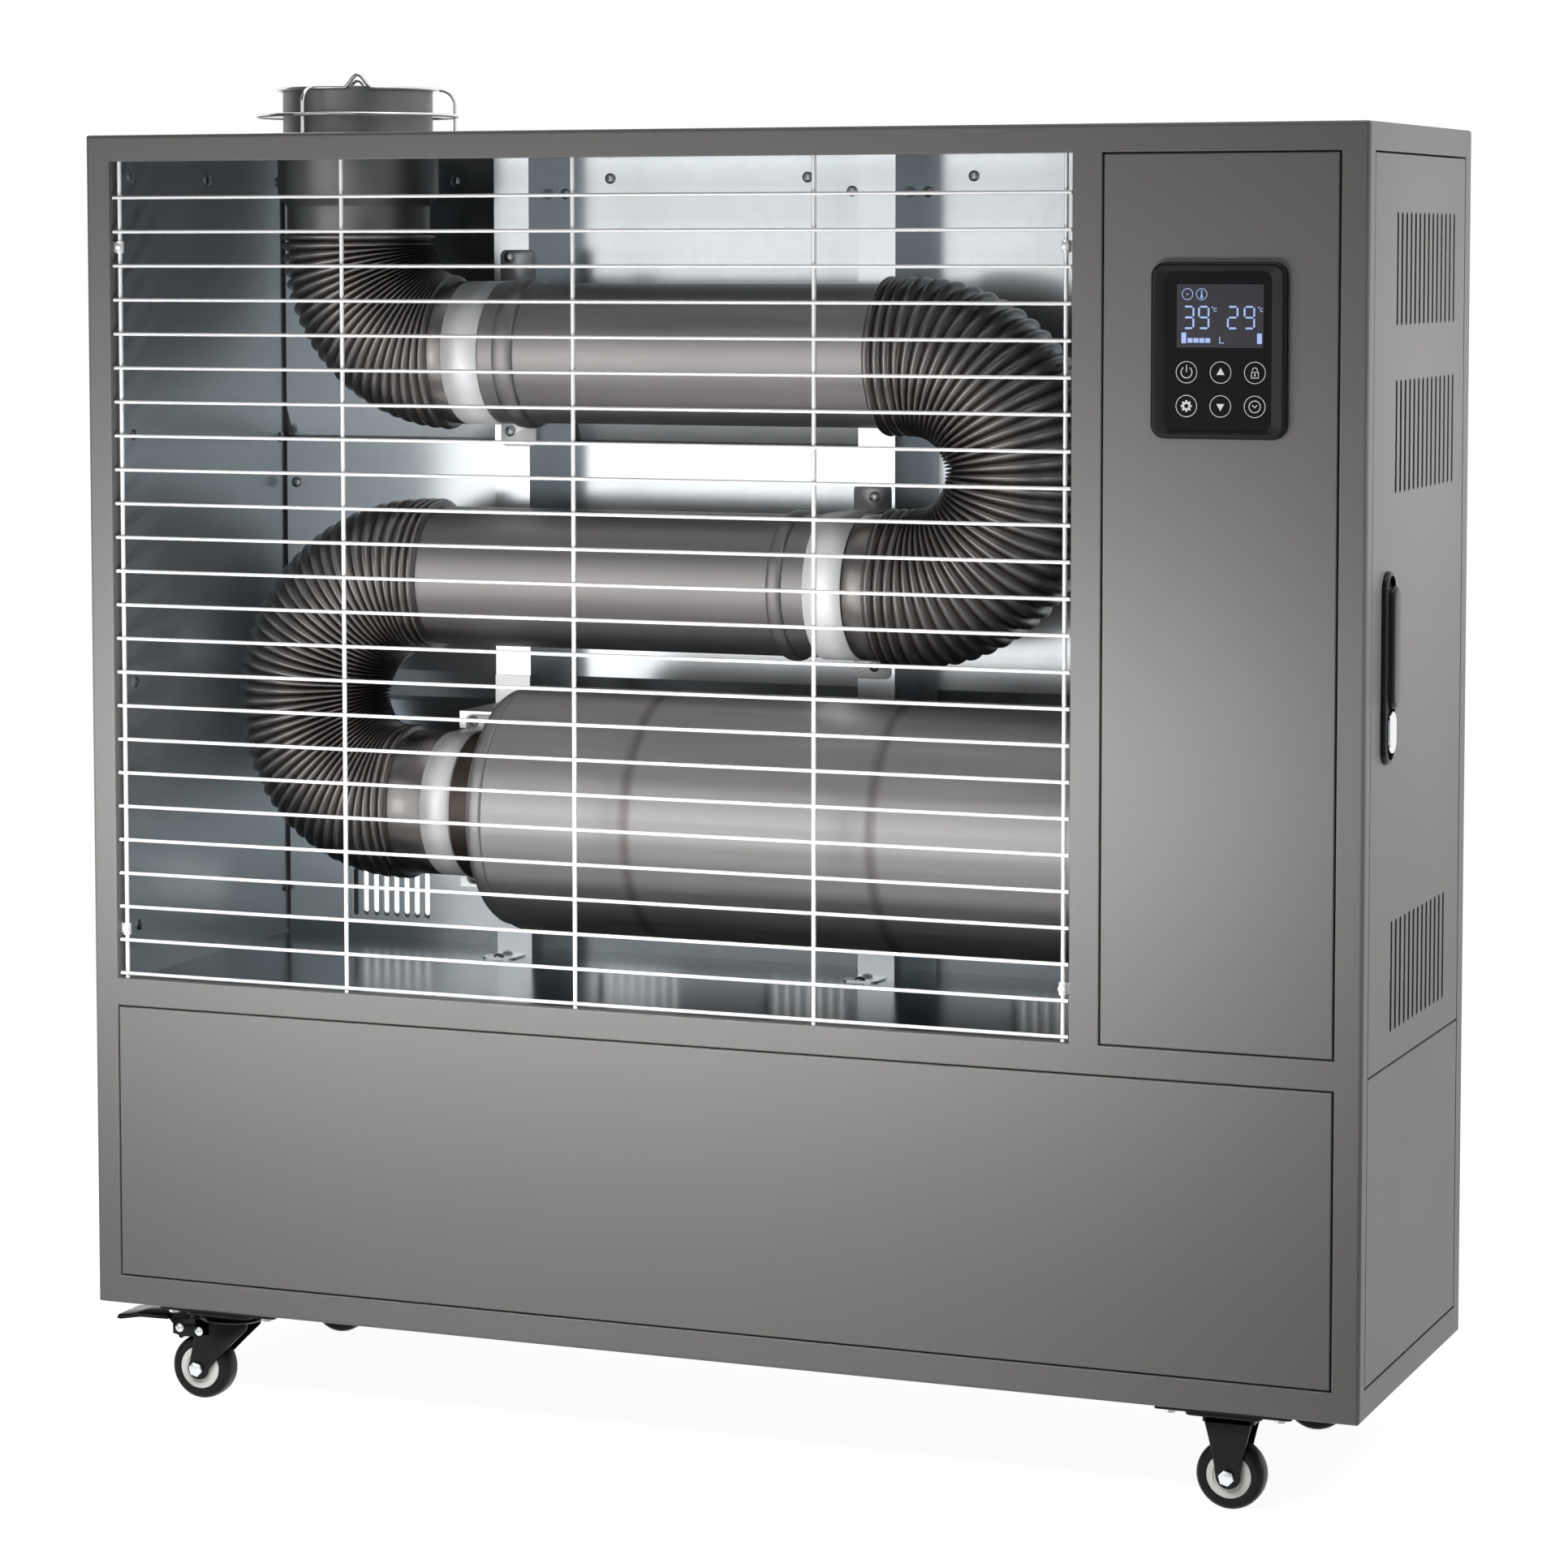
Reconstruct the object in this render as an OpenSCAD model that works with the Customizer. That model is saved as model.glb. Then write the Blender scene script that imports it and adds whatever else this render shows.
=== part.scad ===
// Diesel infrared heater: a wheeled sheet-metal cabinet with a flue gas run of
// drum, pipes and corrugated bends behind a wire grille, and a burner column on
// the right. Front is -Y, the control column is at +X, the floor is z = 0.

/* [Cabinet] */
// Width of the cabinet
body_w = 1000; // [960:10:1100]
// Depth of the cabinet
body_d = 300; // [290:5:340]
// Height of the cabinet without castors
body_h = 900; // [880:10:960]
// Thickness of the cabinet sheet
sheet_t = 1.2; // [0.8:0.1:1.6]
// Rounding of the cabinet's outer edges
edge_r = 3; // [2:0.5:5]
// Width of the front frame's outer bars
bar_w = 20; // [16:1:26]
// Width of the bar between the grille and the control column
mid_bar = 22; // [18:1:28]
// Height of the front frame's bottom bar
bottom_bar = 22; // [18:1:26]
// Height of the bar between the grille and the lower panel
cross_bar = 21; // [16:1:26]
// Height of the grille opening
grille_h = 626; // [600:1:640]
// Width of the control column opening
column_w = 170; // [160:1:190]
// Gap round an inset panel
panel_gap = 1.2; // [0.8:0.1:2]
// Depth of the turned-in lips and trays
lip_d = 12; // [11:0.5:14]
// Width of the ledge that an inset panel rests on
ledge_w = 8; // [6:0.5:10]
// Soft edge of openings and inset panels
soft_r = 1; // [0.6:0.1:1.2]

/* [Heating chamber] */
// Depth of the chamber floor below the grille opening
floor_drop = 3; // [1:1:9]
// Height of the chamber ceiling below the cabinet top
ceiling_drop = 16; // [12:1:19]
// Distance of the rear reflectors from the cabinet back
rear_gap = 20; // [16:1:30]
// Thickness of the reflector sheet
liner_t = 1; // [0.8:0.1:1.2]
// Depth of the fold that stiffens a reflector
fold_d = 6; // [4:1:8]
// Height of that fold
fold_h = 25; // [20:1:30]
// Height of the lower reflector
reflector_low_h = 196; // [190:1:204]
// Height of the middle reflector
reflector_mid_h = 212; // [206:1:216]
// Width of a post's front face
post_w = 30; // [28:1:34]
// Depth of a post
post_d = 55; // [50:1:58]
// Width of a post's flange
post_flange = 15; // [12:1:18]
// Distance of the left post's edge from its clamp's edge
post_left_shift = -6; // [-8:1:0]
// Distance of the right post's edge from its clamp's edge
post_right_shift = 3; // [-1:1:6]

/* [Flue gas run] */
// Number of corrugations in the flue elbow
elbow_ribs = 22; // [16:1:26]
// Number of corrugations in the right bend
right_ribs = 41; // [36:1:46]
// Number of corrugations in the left bend
left_ribs = 44; // [36:1:46]
// Outer radius of the plain pipes
pipe_r = 54; // [52:0.5:55]
// Wall of pipes, drum and collar
pipe_t = 1.5; // [1:0.1:2]
// Depth of the upper pipe's axis below the chamber ceiling
upper_drop = 151; // [148:1:154]
// Height of the drum's axis above the chamber floor
drum_lift = 134; // [131:1:137]
// Outer radius of the drum
drum_r = 94; // [90:1:96]
// Depth of the drum's axis behind the front
drum_y = 129; // [126:1:130]
// Outer radius of a corrugation's crest
rib_r = 60; // [58:0.5:61]
// Bore radius of the corrugated bends
bend_bore_r = 52; // [51:0.5:52.5]
// Length of a spigot inside a bend
spigot_l = 9; // [6:1:12]
// Radius of the flue elbow's middle line
elbow_r = 84; // [80:1:88]
// Distance of the flue's axis from the cabinet's left side
flue_x = 146; // [140:1:160]
// Left end of the middle pipe
middle_left = 219; // [215:1:225]
// Straight part at the end of the flue elbow
elbow_tail = 13; // [10:1:18]
// Straight part at the end of the two bends
bend_tail = 40; // [36:1:44]
// Distance of the upper pipe's right end from the chamber wall
run_right = 208; // [204:1:214]
// Straight part at the start of the right bend
right_lead = 23; // [18:1:28]
// Straight part at the start of the left bend
left_lead = 16; // [12:1:20]
// Width of the pipe clamps
clamp_w = 30; // [26:1:32]
// Thickness of the clamp strap
clamp_t = 1.5; // [1:0.1:2]
// Width of the strap round the drum's neck
neck_clamp_w = 24; // [20:1:28]
// Length of the drum's shoulder, from its neck to the full diameter
shoulder_l = 45; // [39:1:51]
// Outer radius of the flue collar
collar_r = 58.5; // [56:0.5:60]
// Height of the flue collar above the cabinet
collar_h = 39; // [30:1:50]

/* [Grille and guard] */
// Number of grille bars
bars = 24; // [18:1:28]
// Radius of a grille bar
bar_r = 1.45; // [1.2:0.05:1.8]
// Radius of an upright grille wire
upright_r = 1.75; // [1.5:0.05:2]
// Number of upright wires
uprights = 5; // [3:1:7]
// Radius of the flue guard's wire
guard_wire_r = 1.5; // [1.2:0.1:2]
// Radius of the flue guard's lower rings
guard_r = 78.5; // [76:0.5:82]
// Radius of the flue guard's top ring
guard_top_r = 63; // [62:0.5:66]
// Height of the flue guard's middle ring
guard_mid_h = 17; // [14:1:22]
// Height of the two peaks in the top ring
guard_peak_h = 10; // [8:1:14]

/* [Controls] */
// Width of the control bezel
bezel_w = 97; // [92:1:110]
// Height of the control bezel
bezel_h = 122; // [116:1:130]
// Height that the bezel stands proud
bezel_out = 5; // [3:0.5:7]
// Corner rounding of the bezel
bezel_r = 10; // [6:1:14]
// Width of the bezel's rim at the sides
bezel_rim = 10.5; // [8:0.5:14]
// Width of the bezel's rim at the top and bottom
bezel_end = 6.3; // [5:0.1:9]
// Distance of the bezel's upper edge below the cabinet's top
bezel_drop = 96; // [60:1:140]
// Depth of the touch panel below the rim
touch_inset = 1.5; // [1:0.1:2.5]

/* [Side door] */
// Height of the joint under the side door above the lower panel opening
joint_lift = 7; // [7:1:13]
// Width of the side frame's border at the front
side_front = 14; // [14:0.5:16]
// Width of the side frame's border at the back
side_back = 18.5; // [17:0.5:22]
// Width of a vent slot
vent_w = 5; // [4:0.5:6]
// Height of a vent slot
vent_h = 79; // [70:1:84]
// Pitch of the vent slots
vent_pitch = 12.9; // [11:0.1:13]
// Number of slots in a vent group
vents = 14; // [10:1:14]
// Radius of the door's hinge pins
pin_r = 1.5; // [1:0.1:1.8]
// Height of the handle's base plate
handle_h = 135; // [130:1:145]
// Width of the handle's base plate
handle_w = 28; // [26:1:32]
// Thickness of the handle's base plate
handle_t = 4; // [3.5:0.5:5]
// Length of the handle's lever
lever_l = 86; // [80:1:88]
// Width of the lever
lever_w = 20; // [18:1:22]
// Thickness of the lever
lever_t = 4.2; // [4:0.1:5]
// Height of the handle's lower end above the joint under the door
handle_lift = 215; // [200:1:240]

/* [Castors] */
// Height from the floor to the cabinet
castor_h = 76; // [74:1:90]
// Radius of the wheels
wheel_r = 25; // [23:0.5:26]
// Width of the wheels
wheel_w = 20; // [18:1:22]
// Distance of the castors from the cabinet's sides
castor_x = 100; // [90:1:120]
// Distance of the castors from the front and the back
castor_y = 34; // [32:1:40]
// Trail of the swivel castors
trail = 25; // [20:1:28]
// Radius of the wheel axles
axle_r = 4; // [3:0.5:5]
// Radius of the swivel's king pin
king_r = 5; // [4:0.5:6]

/* [Burner] */
// Radius of the fan housing
fan_case_r = 62; // [58:1:64]
// Width of the fan housing
fan_case_w = 60; // [54:1:64]
// Radius of the fan wheel
fan_r = 50; // [46:1:52]
// Radius of the burner motor
motor_r = 38; // [34:1:42]
// Length of the burner motor
motor_l = 66; // [60:1:70]
// Radius of the burner tube
tube_r = 36; // [32:1:38]
// Length that the burner tube reaches into the drum
tube_in = 70; // [60:5:90]
// Radius of the motor shaft
shaft_r = 5; // [4:0.5:6]
// Gap between the fuel tank and the chamber floor
tank_gap = 40.8; // [38:0.2:60]
// Wall of the fuel tank
tank_t = 1.5; // [1:0.1:3]
// Outer radius of the filler neck
filler_r = 25; // [20:1:28]
// Height of the filler neck above the tank
filler_h = 56; // [50:1:70]
// Radius of the hole through the cord gland
cord_r = 4.5; // [3:0.5:5]
// Length that the cord gland stands proud
gland_out = 14; // [10:1:20]

/* [Hidden] */
$fn = 48;

// Colours
grey_paint = "#6e6c69";
panel_paint = "#7b7a77";
zinc = "#aab2b6";
pipe_steel = "#867d77";
dark_steel = "#5d5650";
bright = "#d5d8da";
black = "#1d1d1f";
gloss = "#0b0c0e";
castor_black = "#202022";

// Clearances
fit = 0.3;
run_fit = 0.05;
slack = 0.5;
weld = 0.4;

// Places of the cabinet, from its front left lower corner
fold_w = 16;
lever_out = handle_t + fit + lever_t;
grille_x0 = bar_w;
column_x0 = body_w - bar_w - column_w;
grille_x1 = column_x0 - mid_bar;
upper_z1 = body_h - bar_w;
upper_z0 = upper_z1 - grille_h;
lower_z1 = upper_z0 - cross_bar;
panel_openings = [
  [column_x0, upper_z0, body_w - bar_w, upper_z1],
  [bar_w, bottom_bar, body_w - bar_w, lower_z1]
];
front_openings = concat([[grille_x0, upper_z0, grille_x1, upper_z1]], panel_openings);

// Heating chamber
ceiling_z = body_h - ceiling_drop;
floor_z = upper_z0 - floor_drop;
joint_low = floor_z + reflector_low_h;
joint_high = joint_low + reflector_mid_h;
rear_y = body_d - rear_gap;
liner_x = grille_x0;
wall_x = grille_x1 + 8;
upper_clamp_x = flue_x + elbow_r + elbow_tail;
pipe_right = wall_x - run_right;
middle_clamp_x = pipe_right + right_lead - bend_tail - clamp_w;
post_left_x = upper_clamp_x + post_left_shift;
post_right_x = middle_clamp_x + post_right_shift;
post_y = rear_y - post_d;
post_xs = [post_left_x, post_right_x];
post_reach = post_w + post_flange;
foot_d = 14;
flange_stretches = [
  [liner_x, post_left_x],
  [post_left_x + post_reach, post_right_x],
  [post_right_x + post_reach, wall_x]
];
floor_slots_x = [liner_x + 60, post_left_x + 63, post_right_x - 101, wall_x - 146];
floor_slot_lift = 17;
floor_slot_h = 38;
floor_slot_pitch = 9.3;

// Flue gas run
ring_n = 16;
upper_z = ceiling_z - upper_drop;
drum_z = floor_z + drum_lift;
middle_z = (upper_z + drum_z) / 2;
neck_x = middle_left - left_lead + bend_tail + neck_clamp_w;
shoulder_x = neck_x + shoulder_l;
pipe_y = post_y - pipe_r - clamp_t;
cuff_r = pipe_r + clamp_t;
spigot_r = bend_bore_r * cos(180 / ring_n) - fit;
bead_h = 3.5;
right_cuff = 16.5;
left_cuff = 29;
stub_r = collar_r + 4.5;
stub_h = 45;
neck_r = pipe_r + 2;
neck_tab = 12;
bracket_y = drum_y + 29;
upper_tab = 25;
strap_tab = 20;

// Grille and guard
bar_y = 3;
grille_high = upper_z1 - 27.4;
grille_low = upper_z0 + 3.9;
clip_h = 8;
guard_peak_w = 20;
peak_angles = [-63, 117];
guard_upright_angle = -97;

// Controls
bezel_x = column_x0 + (column_w - bezel_w) / 2;
bezel_z = body_h - bezel_drop - bezel_h;
bezel_in_w = bezel_w - 2 * bezel_rim;
bezel_in_h = bezel_h - 2 * bezel_end;
bezel_wall = 2;
bezel_depth = 24;
bezel_edge = 2.5;
window_r = 4;
touch_t = 2;
board_t = 1.6;

// Side door and its handle
door_joint_z = lower_z1 + joint_lift;
handle_z = door_joint_z + handle_lift;
door_y0 = side_front + panel_gap;
door_y1 = body_d - side_back - panel_gap;
door_z0 = door_joint_z + panel_gap / 2;
door_z1 = upper_z1 - panel_gap;
door_depth = lip_d - 2.2;
door_back_d = 8;
hinge_x = body_w - 3.5;
hinge_y = door_y1 - 4.8;
hinge_notch = 15;
arm_r = 1.95;
seat_x = body_w - lip_d;
vent_y = 76;
vent_zs = [door_z1 - 40.2 - vent_h, door_z1 - 157 - vent_h, door_z0 + 22.6];
vent_counts = [vents, vents, vents - 1];
handle_y = door_y0 + 40.8;
spindle_z = handle_z + handle_h - handle_w / 2;
spindle_r = 6;
pocket_r = 11;
tongue_w = 8;
tongue_h = 4.6;
lever_axis_x = body_w + handle_t + fit + lever_t - tongue_h / 2;
lever_pin_r = 1.2;
cam_l = 38;
button_w = 18;
button_h = 29.5;
button_out = 2;
button_z = handle_z + 8;
stem_r = 4;

// Castors
castor_xs = [castor_x, body_w - castor_x];
castor_ys = [castor_y, body_d - castor_y];
plate_t = 3;
flange_t = 2.5;
race_h = 4;
race_z = -plate_t - flange_t - race_h;
crown_t = 3;
crown_z = race_z - fit - crown_t;
crown_r = 21;
fork_t = 2.5;
fork_in = wheel_w / 2 + 0.8;
axle_z = wheel_r - castor_h;
pedal_x = -trail - 15;
pedal_z = axle_z + wheel_r + 6;
pedal_l = 55;
pedal_pin_r = 2;

// Burner and fuel
fan_x = wall_x + 84;
case_t = 2;
flange_plate_t = 4;
tank_side = 20;
tank_front = lip_d + 4;
tank_top = floor_z - liner_t - tank_gap;
tank_h = tank_top - sheet_t;
filler_x = body_w - 55;
filler_y = 70;
filler_top = tank_top + filler_h;
pump_r = 29;
filter_r = 24;
filter_x = fan_x - pump_r - filter_r - 2;
filter_y = rear_y - 45;
filter_z = floor_z + 79;
line_r = 3;
gland_x = body_w - 60;
gland_z = floor_z - 21;
gland_r = cord_r + 5.5;

// Screws
flange_screws = [for (x = post_xs) [x + post_w + post_flange / 2, ceiling_z - 27]];
rear_screws = [
  [liner_x + 11, joint_high - 36], [post_left_x - 61, ceiling_z - 16], [post_left_x + 76, ceiling_z - 15],
  [post_right_x - 63, ceiling_z - 15], [post_right_x - 26, ceiling_z - 26], [post_right_x + 74, ceiling_z - 15]
];
liner_screws = [
  [33, ceiling_z - 15], [154, ceiling_z - 16], [rear_y - 7, ceiling_z - 16], [33, joint_high + 12],
  [rear_y - 7, joint_high + 1], [33, joint_low + 33], [33, floor_z + 40], [rear_y - 6, floor_z + 38]
];
tab_screws = [
  [post_left_x + 14, upper_z + 74], [post_left_x + 14, upper_z - 63],
  [post_right_x + 14, middle_z + 65], [post_right_x + 14, middle_z - 65]
];

// Moves the cabinet's corner frame to the middle of the object's base
module placed() {
  translate([-(body_w + lever_out) / 2, -(body_d + gland_out - bezel_out) / 2, castor_h]) children();
}

// Rounded rectangle from its lower left corner
module rounded_rect(w, h, r) {
  translate([r, 0]) square([w - 2 * r, h]);
  translate([0, r]) square([w, h - 2 * r]);
  for (x = [r, w - r], y = [r, h - r]) translate([x, y]) circle(r);
}

// Slot with round ends, upright, from its lower left corner
module slot_shape(w, h) {
  translate([0, w / 2]) square([w, h - w]);
  for (y = [w / 2, h - w / 2]) translate([w / 2, y]) circle(w / 2, $fn = 24);
}

// Turns a drawing in x and z into a plate from y = 0 to y = t
module upright_xz(t) {
  translate([0, t, 0]) rotate([90, 0, 0]) linear_extrude(t) children();
}

// Turns a drawing in y and z into a plate from x = 0 to x = t
module upright_yz(t) {
  rotate([90, 0, 90]) linear_extrude(t) children();
}

// Solid block with the cabinet's rounded edges, drawn in by an inset
module envelope(inset) {
  w = body_w - 2 * inset;
  d = body_d - 2 * inset;
  h = body_h - 2 * inset;
  r = edge_r - inset;
  translate([inset, inset, inset]) intersection() {
    linear_extrude(h) rounded_rect(w, d, r);
    upright_xz(d) rounded_rect(w, h, r);
    upright_yz(w) rounded_rect(d, h, r);
  }
}

// The cabinet's skin inside a box, from one corner to the other
module skin(low, high) {
  intersection() {
    difference() {
      envelope(0);
      envelope(sheet_t);
    }
    translate(low) cube(high - low);
  }
}

// Cutter for a square edge along x: it rounds material that fills y > 0 and z > 0
module edge_cutter(l, r, ext) {
  difference() {
    translate([-ext, -1, -1]) cube([l + 2 * ext, r + 1, r + 1]);
    translate([-ext - 1, r, r]) rotate([0, 90, 0]) cylinder(r = r, h = l + 2 * ext + 2, $fn = 24);
  }
}

// Rounds an edge along x: the material lies above it, or below with up = false
module edge_x(x, z, l, r, up, ext = 0) {
  translate([x, 0, z]) mirror([0, 0, up ? 0 : 1]) edge_cutter(l, r, ext);
}

// Rounds an upright edge: the material lies right of it, or left with right = false
module edge_z(x, z, l, r, right, ext = 0) {
  translate([x, 0, z]) mirror([right ? 1 : 0, 0, 0]) rotate([0, -90, 0]) edge_cutter(l, r, ext);
}

// Softens the four front edges round an opening
module soft_opening(o, r) {
  edge_x(o[0], o[1], o[2] - o[0], r, false);
  edge_x(o[0], o[3], o[2] - o[0], r, true);
  edge_z(o[0], o[1], o[3] - o[1], r, false);
  edge_z(o[2], o[1], o[3] - o[1], r, true);
}

// Sheet tray with its face at y = 0 and its rim turned back
module tray(x0, z0, x1, z1, d) {
  w = x1 - x0;
  h = z1 - z0;
  difference() {
    translate([x0, 0, z0]) cube([w, d, h]);
    translate([x0 + sheet_t, sheet_t, z0 + sheet_t]) cube([w - 2 * sheet_t, d, h - 2 * sheet_t]);
    edge_x(x0, z0, w, soft_r, true, 1);
    edge_x(x0, z1, w, soft_r, false, 1);
    edge_z(x0, z0, h, soft_r, true, 1);
    edge_z(x1, z0, h, soft_r, false, 1);
  }
}

// Ring in x and z round an opening, from an inner to an outer offset
module opening_ring(o, inner, outer) {
  difference() {
    translate([o[0] - outer, o[1] - outer]) square([o[2] - o[0] + 2 * outer, o[3] - o[1] + 2 * outer]);
    translate([o[0] - inner, o[1] - inner]) square([o[2] - o[0] + 2 * inner, o[3] - o[1] + 2 * inner]);
  }
}

// Turns what is drawn for the front so that it faces right, its x becoming y
module on_right_side() {
  translate([body_w, 0, 0]) rotate([0, 0, 90]) children();
}

// Round bar from p to q
module rod(p, q, r) {
  d = q - p;
  translate(p) rotate([0, acos(d[2] / norm(d)), atan2(d[1], d[0])]) cylinder(r = r, h = norm(d));
}

// Turns a profile of radius and x about an axis along x
module turned_x() {
  rotate([0, 90, 0]) rotate_extrude() children();
}

// Rounded screw head standing on a surface that faces -y
module screw_head() {
  rotate([90, 0, 0]) rotate_extrude() polygon([[0, 0], [4.2, 0], [4.2, 0.9], [3.2, 1.8], [0, 2.2]]);
}

// Group of upright slots from their lower left corner
module slot_group(n, pitch, w, h) {
  for (i = [0 : n - 1]) translate([i * pitch, 0]) slot_shape(w, h);
}

// The slots low in the back, behind the drum
module floor_slots() {
  for (x = floor_slots_x) translate([x, floor_z + floor_slot_lift])
    slot_group(8, floor_slot_pitch, vent_w, floor_slot_h);
}

// Cabinet shell
module front_frame() color(grey_paint) placed() {
  difference() {
    union() {
      skin([0, 0, 0], [body_w, side_front, body_h]);
      for (o = front_openings) upright_xz(lip_d) opening_ring(o, 0, sheet_t);
      for (o = panel_openings) {
        translate([0, lip_d, 0]) upright_xz(sheet_t) opening_ring(o, -ledge_w, sheet_t);
      }
    }
    for (o = front_openings) {
      translate([o[0], -1, o[1]]) cube([o[2] - o[0], lip_d + 1, o[3] - o[1]]);
      soft_opening(o, soft_r);
    }
  }
}

module right_side_frame() color(grey_paint) placed() {
  rim = [side_front, bottom_bar, body_d - side_back, upper_z1];
  cross = [side_front, door_joint_z - ledge_w, body_d - side_back, door_joint_z + ledge_w];
  difference() {
    skin([body_w - fold_w, side_front, 0], [body_w, body_d, body_h]);
    on_right_side() translate([rim[0] - 1, -1, rim[1]]) cube([rim[2] - rim[0] + 1, 5, rim[3] - rim[1]]);
  }
  on_right_side() {
    translate([0, sheet_t, 0]) upright_xz(lip_d) opening_ring(rim, 0, sheet_t);
    translate([0, lip_d, 0]) upright_xz(sheet_t) opening_ring(rim, -ledge_w, sheet_t);
    translate([cross[0], lip_d, cross[1]]) cube([cross[2] - cross[0], sheet_t, 2 * ledge_w]);
  }
}

module left_side_panel() color(grey_paint) placed() {
  skin([0, side_front, 0], [fold_w, body_d, body_h]);
}

module top_cover() color(grey_paint) placed() {
  difference() {
    skin([fold_w, side_front, body_h - fold_w], [body_w - fold_w, body_d, body_h]);
    translate([flue_x, pipe_y, body_h - fold_w]) cylinder(r = collar_r, h = 2 * fold_w);
  }
}

module base_pan() color(grey_paint) placed() {
  skin([fold_w, side_front, 0], [body_w - fold_w, body_d, fold_w]);
}

module rear_cover() color(grey_paint) placed() {
  translate([0, body_d - sheet_t, 0]) difference() {
    translate([fold_w, 0, fold_w]) cube([body_w - 2 * fold_w, sheet_t, body_h - 2 * fold_w]);
    translate([0, -1, 0]) upright_xz(2 * sheet_t + 2) {
      floor_slots();
      for (z = vent_zs) translate([wall_x + 25, z]) slot_group(vents - 1, 12, vent_w, vent_h);
    }
    translate([gland_x, -1, gland_z]) rotate([-90, 0, 0]) cylinder(r = gland_r, h = 4);
  }
}

// Inset panels
module lower_front_panel() color(panel_paint) placed() {
  o = panel_openings[1];
  tray(o[0] + panel_gap, o[1] + panel_gap, o[2] - panel_gap, o[3] - panel_gap, lip_d);
}

module control_column_panel() color(panel_paint) placed() {
  o = panel_openings[0];
  difference() {
    tray(o[0] + panel_gap, o[1] + panel_gap, o[2] - panel_gap, o[3] - panel_gap, lip_d);
    translate([bezel_x + bezel_rim - bezel_wall, -1, bezel_z + bezel_end - bezel_wall])
      cube([bezel_in_w + 2 * bezel_wall, 4, bezel_in_h + 2 * bezel_wall]);
  }
}

module lower_side_panel() color(panel_paint) placed() {
  on_right_side() tray(door_y0, bottom_bar + panel_gap, door_y1, door_joint_z - panel_gap / 2, lip_d);
}

// Heating chamber
module left_liner() color(zinc) placed() {
  translate([liner_x - liner_t, lip_d, floor_z]) cube([liner_t, rear_y - lip_d, ceiling_z - floor_z]);
}

module ceiling_liner() color(zinc) placed() {
  difference() {
    translate([liner_x - liner_t, sheet_t, ceiling_z])
      cube([wall_x - liner_x + liner_t, rear_y + fold_d + liner_t - sheet_t, liner_t]);
    translate([flue_x, pipe_y, ceiling_z - 1]) cylinder(r = stub_r + fit, h = 3);
  }
}

module floor_reflector() color(zinc) placed() {
  w = wall_x - liner_x + liner_t + sheet_t;
  translate([liner_x - liner_t, sheet_t, floor_z - liner_t]) cube([w, rear_y - sheet_t, liner_t]);
  for (s = flange_stretches) {
    translate([s[0], rear_y - liner_t, floor_z]) cube([s[1] - s[0], liner_t, lip_d]);
  }
}

// Rear reflector between two heights: its foot leans back under the next one's return
module reflector(z0, z1, leans, returns) {
  foot = leans ? fold_h : 0;
  upright = [[0, foot], [0, z1 - z0], [liner_t, z1 - z0], [liner_t, foot]];
  lean = [[0, foot], [fold_d, 0], [fold_d + liner_t, 0], [liner_t, foot]];
  w = wall_x - liner_x + liner_t;
  translate([liner_x - liner_t, rear_y, z0]) {
    upright_yz(w) polygon(upright);
    if (leans) upright_yz(w) polygon(lean);
    if (returns) translate([0, 0, z1 - z0 - liner_t]) cube([w, fold_d + liner_t, liner_t]);
  }
}

module rear_reflector_upper() color(zinc) placed() reflector(joint_high, ceiling_z, true, false);

module rear_reflector_middle() color(zinc) placed() reflector(joint_low, joint_high, true, true);

module rear_reflector_lower() color(zinc) placed() {
  difference() {
    reflector(floor_z - liner_t, joint_low, false, true);
    translate([0, rear_y - 1, 0]) upright_xz(3) {
      floor_slots();
    }
  }
}

module partition() color(zinc) placed() {
  difference() {
    translate([wall_x, sheet_t, floor_z]) cube([sheet_t, rear_y - sheet_t, ceiling_z + liner_t - floor_z]);
    translate([wall_x - 1, drum_y, drum_z]) rotate([0, 90, 0]) cylinder(r = tube_r + fit, h = 4);
  }
}

// Hat section post with a flange on its right and a tab on the floor
module post(x) {
  translate([x, post_y, floor_z]) {
    linear_extrude(ceiling_z - floor_z) {
      square([post_w, sheet_t]);
      square([sheet_t, post_d]);
      translate([post_w - sheet_t, 0]) square([sheet_t, post_d]);
      translate([post_w - sheet_t, post_d - sheet_t]) square([post_flange + sheet_t, sheet_t]);
    }
    translate([-8, -foot_d, 0]) linear_extrude(sheet_t) {
      translate([0, 5]) square([post_w - 2, foot_d - 5]);
      translate([5, 0]) square([post_w - 12, 6]);
      for (i = [5, post_w - 7]) translate([i, 5]) circle(5);
    }
  }
}

module posts() color(zinc) placed() for (x = post_xs) post(x);

// Flue gas run
// Strap over a pipe whose axis is the origin, its tabs lying on a plane behind it
module strap(r, w, plane, up, down) {
  upright_yz(w) {
    difference() {
      circle(r + clamp_t);
      circle(r);
      translate([0, -2 * r]) square(4 * r);
    }
    for (s = [[1, up], [-1, down]]) mirror([0, s[0] > 0 ? 0 : 1]) {
      translate([0, r]) square([plane, clamp_t]);
      translate([plane - clamp_t, r]) square([clamp_t, clamp_t + s[1]]);
    }
  }
}

module pipe_clamps() color(bright) placed() {
  translate([upper_clamp_x, pipe_y, upper_z]) strap(pipe_r, clamp_w, post_y - pipe_y, upper_tab, strap_tab);
  translate([middle_clamp_x, pipe_y, middle_z]) strap(pipe_r, clamp_w, post_y - pipe_y, strap_tab, strap_tab);
}

module neck_clamp() color(bright) placed() {
  translate([neck_x - neck_clamp_w, drum_y, drum_z])
    strap(pipe_r, neck_clamp_w, bracket_y - drum_y, neck_tab, neck_tab);
}

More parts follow.
